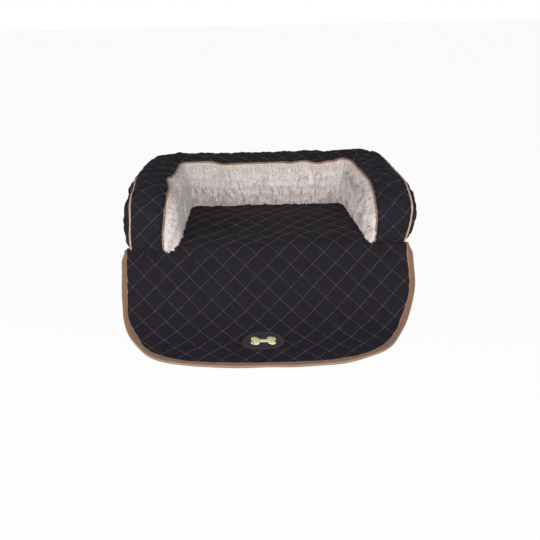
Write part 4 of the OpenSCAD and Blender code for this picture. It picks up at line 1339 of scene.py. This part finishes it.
# %% [markdown]
# The fillings never show, but they are what gives the bed its shape: a block of foam in the base and
# three sleeves of fibre in the bolsters.

# %% Fillings
SLEEVE_STEP, SLEEVE_ROUND, SLEEVE_SHARE = 14 * MM, 400 * MM, 0.86


def foam_block():
    """The foam block: four outlines of the base's plan, the first and the last drawn in."""
    q, side = stations("round", 1, 12 * MM)
    line, outward = rail_at("foot", q, side)
    line = line * [1, 1, 0] - outward * 9 * MM
    line = line + [0, 8 * MM, 0] * (1 - smooth((q - 1) / 2))[:, None]
    outlines = (4 * MM, 0.98), (9 * MM, 1), (DECK_Z - 9 * MM, 1), (DECK_Z - 4 * MM, 0.98)
    points = np.concatenate([line * [k, k, 1] + [0, 0, z] for z, k in outlines])
    n = len(line)
    ends = [list(range(n)), list(range(3 * n, 4 * n))[::-1]]
    faces = ring_quads(4, n)[:, ::-1].tolist() + ends
    return mesh_piece("base_foam", points, faces, rounded=False)


def stuffing(part):
    """A sleeve of fibre: at each station, a closed ring inside the fleece, the top and the side."""
    q, side = stations(part, 1, SLEEVE_STEP)
    inner, outer, seat, foot = (
        rail_at(kind, q, side)[0] for kind in ("inner", "outer", "seat", "foot")
    )
    low = [0, 0, DECK_Z - SEAT_Z + 5 * MM]
    corners = [seat * [1, 1, 0] + low, inner, outer, foot * [1, 1, 0] + low]
    share = np.linspace(0, 1, 5)[:-1, None, None]
    sides = [a + (b - a) * share for a, b in zip(corners, corners[1:] + corners[:1])]
    ring = np.concatenate(sides).swapaxes(0, 1)
    middle = ring.mean(1, keepdims=True)
    ring = middle + (ring - middle) * SLEEVE_SHARE + [0, 6 * MM, SEAT_Z]
    ring = ring if part == "right" else ring[:, ::-1]
    return loop_sweep(part + "_stuffing", ring, SLEEVE_ROUND, np.arange(len(q)) * SLEEVE_STEP)


base_foam = foam_block()
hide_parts("base_filling")
sleeves = [stuffing(part) for part in ("left", "back", "right")]
for sleeve, node in zip(sleeves, ("left_filling", "back_filling", "right_filling")):
    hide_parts(node)


# %% [markdown]
# The zip at the back is moulded: two rows of teeth on a tape, meshing one between the next. Its tape,
# stops, slider and pull are the frame's own solids, the last three with their edges softened; the teeth
# are redrawn.

# %% Zip teeth
chain_low, chain_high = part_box("zip_chain")
TOOTH_HALF = 0.62 * MM


def zip_teeth(pitch=1.6 * MM):
    """Meshing teeth: blocks of eight corners, alternately from above and from below the zip's line."""
    x = np.arange(chain_low.x + pitch, chain_high.x - pitch / 2, pitch)
    way = np.where(np.arange(len(x)) % 2 == 0, 1.0, -1.0)
    middle_z = (chain_low.z + chain_high.z) / 2
    reach = (chain_high.z - chain_low.z) / 2
    root_y, crest_y = chain_low.y + 0.1 * MM, chain_high.y - 0.1 * MM
    tooth = (
        (-1, 1, root_y), (1, 1, root_y), (1, -0.3, root_y), (-1, -0.3, root_y),
        (-0.8, 0.95, crest_y), (0.8, 0.95, crest_y), (0.8, -0.2, crest_y), (-0.8, -0.2, crest_y),
    )
    points = np.stack([
        np.stack([x + dx * TOOTH_HALF, 0 * x + y, middle_z + way * dz * reach], -1)
        for dx, dz, y in tooth
    ], 1)
    points[way < 0] = points[way < 0][:, [3, 2, 1, 0, 7, 6, 5, 4]]
    cell = [[0, 1, 2, 3], [7, 6, 5, 4], [4, 5, 1, 0], [5, 6, 2, 1], [6, 7, 3, 2], [7, 4, 0, 3]]
    print(len(x), "zip teeth")
    return new_piece("zip_teeth", points.reshape(-1, 3), repeated(cell, len(x), 8))


teeth = zip_teeth()
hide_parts("zip_chain")
for name, width in (("zip_slider", 0.35 * MM), ("zip_pull", 0.35 * MM), ("zip_stops", 0.2 * MM)):
    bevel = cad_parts[name].modifiers.new("softened edges", "BEVEL")
    bevel.width = width
    bevel.segments = 2
    bevel.limit_method = "ANGLE"

# %% [markdown]
# Everything sewn to the bed rides on it. The quilted cloth, its lining, its stitches and its binding
# cross the fold, so they keep their places in the world and ride on neither body.

# %% Bodies
across_fold = [seat_and_flap, seat_stitches, binding, flap_underside]
on_flap = [patch_cloth, patch_edge, bone_embroidery]
for piece in across_fold:
    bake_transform(piece)
for piece in on_flap:
    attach(piece, "flap")
on_bed = bolsters + walls + front + piles + [inner_cord, outer_cord]
on_bed += [deck_cloth, underside_cloth, grip_dots, base_foam, teeth] + sleeves
for piece in on_bed:
    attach(piece, "bed")
quilted_panels = [seat_and_flap] + bolsters[::2] + [walls[0], front[0]]
threads = [seat_stitches] + bolsters[1::2] + [walls[1], front[1]]

# %% [markdown]
# Colours are written as they look on a screen and turned into linear light by one function. Another
# adds a node with its settings and links. Patterns take their scale from the cloth's own UVs, which
# are in metres, so a weave thread is as wide on the seat as on a bolster.

# %% Material helpers
def linear(code):
    """A screen colour such as #9C8264 as linear light: the sRGB curve undone for each channel."""
    channels = [int(code[k:k + 2], 16) / 255 for k in (1, 3, 5)]
    return tuple(c / 12.92 if c <= 0.04045 else ((c + 0.055) / 1.055) ** 2.4 for c in channels) + (1.0,)


def add(tree, kind, inputs=None, out=0, **settings):
    """Adds a shader node and returns one of its outputs. Inputs are values or other outputs."""
    node = tree.nodes.new("ShaderNode" + kind)
    for key, value in settings.items():
        setattr(node, key, value)
    for key, value in (inputs or {}).items():
        if isinstance(value, bpy.types.NodeSocket):
            tree.links.new(value, node.inputs[key])
        else:
            node.inputs[key].default_value = value
    return node.outputs[out] if node.outputs else node


def new_material(name, on_cloth=True):
    """A new material, its node tree, and places in metres: the cloth's own, or the object's."""
    made = bpy.data.materials.new(name)
    made.use_nodes = True
    tree = made.node_tree
    tree.nodes.clear()
    if on_cloth:
        return made, tree, add(tree, "UVMap", uv_map="cloth")
    return made, tree, add(tree, "TexCoord", out="Object")


def finish_cloth(tree, colour, height, depth, rough, sheen, specular, sheen_tint="#FFFFFF"):
    """Ends a cloth material: a rough surface with little gloss, fuzz at grazing angles and a bump."""
    bump = add(tree, "Bump", {"Height": height, "Distance": depth, "Strength": 0.7})
    surface = add(tree, "BsdfPrincipled", {
        "Base Color": colour, "Roughness": rough, "Specular IOR Level": specular,
        "Sheen Weight": sheen, "Sheen Roughness": 0.5, "Sheen Tint": linear(sheen_tint), "Normal": bump,
    })
    add(tree, "OutputMaterial", {"Surface": surface})


# %% [markdown]
# The woven cloths differ only in their ribs, tones and gloss. The quilted polyester is a near-black
# violet grey whose threads are under a millimetre, so from afar they only soften the light and the
# eye sees the puffs; a little fuzz lifts each puff's edge. The linings and the patch are flatter and
# hardly show. A slow mottle keeps large areas from looking printed.

# %% Woven cloths
WAVE_REPEAT = math.pi / 10


def woven_material(
    name, dark, light, rib, mottle=18 * MM, sheen=0.1, gloss=0.15, on_cloth=True, fuzz="#FFFFFF"
):
    """A plain weave: the product of two sets of ribs, mottled between two tones.

    The wave node repeats every pi tenths of a unit, so ribs of a width need pi tenths over that width.
    """
    made, tree, place = new_material(name, on_cloth)
    waves = {"Vector": place, "Scale": WAVE_REPEAT / rib}
    warp = add(tree, "TexWave", waves, "Fac")
    weft = add(tree, "TexWave", waves, "Fac", bands_direction="Y")
    weave = add(tree, "Math", {0: warp, 1: weft}, operation="MULTIPLY")
    blotch = add(tree, "TexNoise", {"Vector": place, "Scale": 1 / mottle, "Detail": 3.0})
    colour = add(tree, "Mix", {0: blotch, 6: linear(dark), 7: linear(light)}, 2, data_type="RGBA")
    finish_cloth(tree, colour, weave, 0.2 * MM, 0.85, sheen, gloss, fuzz)
    return made


quilt_cloth = woven_material(
    "quilted polyester", "#1E1C20", "#27242A", 0.7 * MM, 25 * MM, sheen=0.04, gloss=0.03, fuzz="#B9B4C4"
)
patch_twill = woven_material("woven patch cloth", "#18171B", "#1F1E22", 0.9 * MM)
overcast_edge = woven_material("overcast patch thread", "#2B2A2F", "#3A383D", 0.6 * MM)
lining_cloth = woven_material("black lining cloth", "#161618", "#1E1E21", 0.5 * MM)
woven_tape = woven_material("black woven tape", "#161618", "#1E1E21", 0.5 * MM, on_cloth=False)
grip_weave = woven_material("grip base cloth", "#121214", "#1A1A1C", 0.8 * MM)


# %% [markdown]
# The fleece is warm pale grey. Curls are darkest at the root and where they part, as light hardly gets
# in, and almost white at the tip; a tint from curl to curl keeps them apart. Light passes a little way
# into the pile.

# %% Fleece pile
def pile_material():
    """Polyester fleece: a ramp from root to tip, tinted curl by curl."""
    made, tree, _ = new_material("curly polyester fleece")
    tip = add(tree, "Attribute", out="Fac", attribute_name="tip")
    tint = add(tree, "Attribute", out="Fac", attribute_name="tint")
    pale, grey = (
        add(tree, "Mix", {0: tip, 6: linear(root), 7: linear(end)}, 2, data_type="RGBA")
        for root, end in (("#C2AFA8", "#FFFCFB"), ("#A8968F", "#FCF5F3"))
    )
    colour = add(tree, "Mix", {0: tint, 6: pale, 7: grey}, 2, data_type="RGBA")
    surface = add(tree, "BsdfPrincipled", {
        "Base Color": colour, "Roughness": 0.75, "Specular IOR Level": 0.3, "Sheen Weight": 0.25,
        "Sheen Roughness": 0.4, "Subsurface Weight": 0.15, "Subsurface Radius": (1, 0.85, 0.75),
        "Subsurface Scale": 2 * MM,
    })
    add(tree, "OutputMaterial", {"Surface": surface})
    return made


fleece_pile = pile_material()


# %% [markdown]
# Satin and thread are twisted or gathered, so both get slanted ribs over a slow change of tone. The
# piping's satin turns lighter where the cord faces the light, and its ribs are the fine rings that
# gathering the bias-cut sleeve leaves. The inner cord lies in the angle beside the fleece and gets
# darker tones of the same satin: painted shade for the little light that reaches it there. The
# quilting thread is tan and the embroidery thread cream.

# %% Piping satin and threads
def ribbed_material(name, dark, light, rib, change, depth, rough, gloss, on_cloth=False):
    """Slanted ribs of the given width, and a slow change between two tones."""
    made, tree, place = new_material(name, on_cloth)
    waves = {"Vector": place, "Scale": WAVE_REPEAT / rib}
    ribs = add(tree, "TexWave", waves, "Fac", bands_direction="DIAGONAL")
    worn = add(tree, "TexNoise", {"Vector": place, "Scale": 1 / change})
    colour = add(tree, "Mix", {0: worn, 6: linear(dark), 7: linear(light)}, 2, data_type="RGBA")
    finish_cloth(tree, colour, ribs, depth, rough, 0.05, gloss)
    return made


piping_satin = ribbed_material(
    "tan piping satin", "#9A7B69", "#C4A48F", 1.6 * MM, 30 * MM, 0.2 * MM, 0.5, 0.4, on_cloth=True
)
# The inner cord's satin is the same cloth in darker tones: painted shade for the angle beside the fleece.
painted_shade_satin = ribbed_material(
    "piping satin with painted shade", "#6A5347", "#94796A", 1.6 * MM, 30 * MM, 0.2 * MM, 0.6, 0.25, on_cloth=True
)
quilting_thread = ribbed_material(
    "tan quilting thread", "#77665A", "#918175", 0.5 * MM, 12 * MM, 0.08 * MM, 0.55, 0.35
)
cream_thread = ribbed_material(
    "cream embroidery thread", "#DCD3A4", "#EDE6C0", 0.9 * MM, 12 * MM, 0.08 * MM, 0.55, 0.35
)


# %% [markdown]
# The binding is brushed tape. Its brushing leaves lengthwise streaks, and its two folded edges catch
# more light than the flat between them.

# %% Brushed binding
FOLD_HIGHLIGHTS = ((0.10, 0.0), (0.15, 1.0), (0.21, 0.0), (0.45, 0.0), (0.5, 0.8), (0.58, 0.0))


def binding_material():
    """Brushed tape: noise drawn out along the tape, with painted highlights along its folded edges."""
    made, tree, place = new_material("brushed binding tape")
    drawn = add(tree, "Mapping", {"Vector": place, "Scale": (1, 0.06, 1)})
    grain = {"Vector": drawn, "Scale": 1 / (2.2 * MM), "Detail": 4.0, "Roughness": 0.65}
    streaks = add(tree, "TexNoise", grain)
    blotch = add(tree, "TexNoise", {"Vector": place, "Scale": 1 / (28 * MM)})
    tones = {0: streaks, 6: linear("#5F4636"), 7: linear("#91725A")}
    colour = add(tree, "Mix", tones, 2, data_type="RGBA")
    faded = add(tree, "Math", {0: blotch, 1: 0.5}, operation="MULTIPLY")
    colour = add(tree, "Mix", {0: faded, 6: colour, 7: linear("#77594A")}, 2, data_type="RGBA")
    across = add(tree, "SeparateXYZ", {0: place}, "X")
    across = add(tree, "Math", {0: across, 1: 1 / BINDING_ROUND}, operation="MULTIPLY")
    edge = add(tree, "ValToRGB", {0: across})
    ramp = edge.node.color_ramp.elements
    for share, level in FOLD_HIGHLIGHTS:
        ramp.new(share).color = (level, level, level, 1)
    ramp[0].color = ramp[-1].color = (0, 0, 0, 1)
    edge = add(tree, "Math", {0: edge, 1: 0.6}, operation="MULTIPLY")
    # The folded edges are mixed toward a pale tan: painted highlights.
    colour = add(tree, "Mix", {0: edge, 6: colour, 7: linear("#C2A48E")}, 2, data_type="RGBA")
    finish_cloth(tree, colour, streaks, 0.4 * MM, 0.8, 0.3, 0.2, "#E8D8CC")
    return made


brushed_tape = binding_material()


# %% [markdown]
# Fibre and foam are off-white and matt. The rubber dots are dull black, the zip's teeth are moulded
# plastic with a soft shine, and its slider, pull and stops are lacquered zinc.

# %% Filling, rubber, plastic and zinc
def matt_material(name, dark, light, blotch, rough, specular, grain):
    """A plain solid with blotches of the given size and a grain in its surface."""
    made, tree, place = new_material(name, on_cloth=False)
    blotches = add(tree, "TexNoise", {"Vector": place, "Scale": 1 / blotch, "Detail": 3.0})
    grains = add(tree, "TexNoise", {"Vector": place, "Scale": 1 / grain, "Detail": 4.0})
    colour = add(tree, "Mix", {0: blotches, 6: linear(dark), 7: linear(light)}, 2, data_type="RGBA")
    finish_cloth(tree, colour, grains, 0.3 * MM, rough, 0.0, specular)
    return made


fibre = matt_material("polyester fibre", "#DAD7CF", "#F0EEE8", 30 * MM, 0.9, 0.1, 3 * MM)
rubber = matt_material("black rubber", "#0E0E0F", "#171718", 10 * MM, 0.6, 0.4, 0.4 * MM)
zip_plastic = matt_material("moulded zip plastic", "#141416", "#1D1D20", 15 * MM, 0.35, 0.5, 0.8 * MM)


def zinc_material():
    """Lacquered die-cast zinc: a dark metal under a clear coat, slightly worn in its roughness."""
    made, tree, place = new_material("lacquered zinc", on_cloth=False)
    worn = add(tree, "TexNoise", {"Vector": place, "Scale": 1 / (4 * MM), "Detail": 4.0})
    rough = add(tree, "MapRange", {0: worn, 3: 0.25, 4: 0.45})
    surface = add(tree, "BsdfPrincipled", {
        "Base Color": linear("#55555A"), "Metallic": 1.0, "Roughness": rough,
        "Coat Weight": 0.5, "Coat Roughness": 0.15,
    })
    add(tree, "OutputMaterial", {"Surface": surface})
    return made


zinc = zinc_material()


# %% Hand out the materials
def give(made, pieces):
    """Gives pieces one material."""
    for piece in pieces:
        piece.data.materials.clear()
        piece.data.materials.append(made)


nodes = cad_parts
give(quilt_cloth, quilted_panels)
give(quilting_thread, threads)
give(fleece_pile, piles)
give(piping_satin, [outer_cord])
give(painted_shade_satin, [inner_cord])
give(brushed_tape, [binding])
give(lining_cloth, [flap_underside, deck_cloth])
give(woven_tape, [nodes["zip_tape"]])
give(patch_twill, [patch_cloth])
give(overcast_edge, [patch_edge])
give(cream_thread, [bone_embroidery])
give(grip_weave, [underside_cloth])
give(rubber, [grip_dots])
give(fibre, [base_foam] + sleeves)
give(zip_plastic, [teeth])
give(zinc, [nodes["zip_slider"], nodes["zip_pull"], nodes["zip_stops"]])

# %% [markdown]
# The floor is plain and pale. For the camera, and for reflections, most of it glows a flat white, and
# the rest keeps the bed's soft shadow; as a light on the bed it is only a pale floor. The world is
# white for the camera and dimmer as a light.

# %% Floor and world
def seen_or_mirrored(tree):
    """1 where a ray comes from the camera, a mirror or a glass, and 0 where it gathers light."""
    rays = add(tree, "LightPath").node.outputs
    seen = {0: rays["Is Camera Ray"], 1: rays["Is Glossy Ray"]}
    seen = {0: add(tree, "Math", seen, operation="MAXIMUM"), 1: rays["Is Transmission Ray"]}
    return add(tree, "Math", seen, operation="MAXIMUM")


def floor_material():
    """A pale matt floor, mixed with flat white where the camera or a mirror looks at it."""
    made, tree, _ = new_material("pale floor", on_cloth=False)
    share = add(tree, "Math", {0: seen_or_mirrored(tree), 1: 0.94}, operation="MULTIPLY")
    matt = add(tree, "BsdfDiffuse", {"Color": linear("#F2F2F4")})
    glow = add(tree, "Emission", {"Color": linear("#FFFFFF"), "Strength": 1.0})
    both = add(tree, "MixShader", {0: share, 1: matt, 2: glow})
    add(tree, "OutputMaterial", {"Surface": both})
    return made


FLOOR_HALF = 9
floor_corners = FLOOR_HALF * np.array([(-1, -1, 0), (1, -1, 0), (1, 1, 0), (-1, 1, 0)])
floor = mesh_piece("floor", floor_corners, [(0, 1, 2, 3)], rounded=False)
floor.data.materials.append(floor_material())

world = bpy.data.worlds.new("studio")
world.use_nodes = True
sky = world.node_tree
sky.nodes.clear()
level = add(sky, "MapRange", {0: seen_or_mirrored(sky), 3: 0.30, 4: 1.0})
backdrop = add(sky, "Background", {"Color": linear("#FFFFFF"), "Strength": level})
add(sky, "OutputWorld", {"Surface": backdrop})
bpy.context.scene.world = world


# %% [markdown]
# Two large soft lamps light the bed from the front, low enough that upright and sloping cloth is
# brighter than cloth that lies flat, and puffs and folds show their relief. The key stands a little
# to the right, and a weaker one to the left keeps the left arm's side readable.

# %% Lamps
def lamp(name, place, target, size, power):
    """A square area lamp that faces a target."""
    data = bpy.data.lights.new(name, "AREA")
    data.size = size
    data.energy = power
    made = new_object(name, data)
    made.location = place
    made.rotation_euler = (Vector(target) - Vector(place)).to_track_quat("-Z", "Y").to_euler()


lamp("key", (0.45, -3.2, 1.0), (0, -0.1, 0.15), 2.0, 89)
lamp("fill", (-1.9, -2.3, 1.0), (0, 0, 0.15), 1.6, 34)
bpy.context.scene.view_settings.view_transform = "Standard"
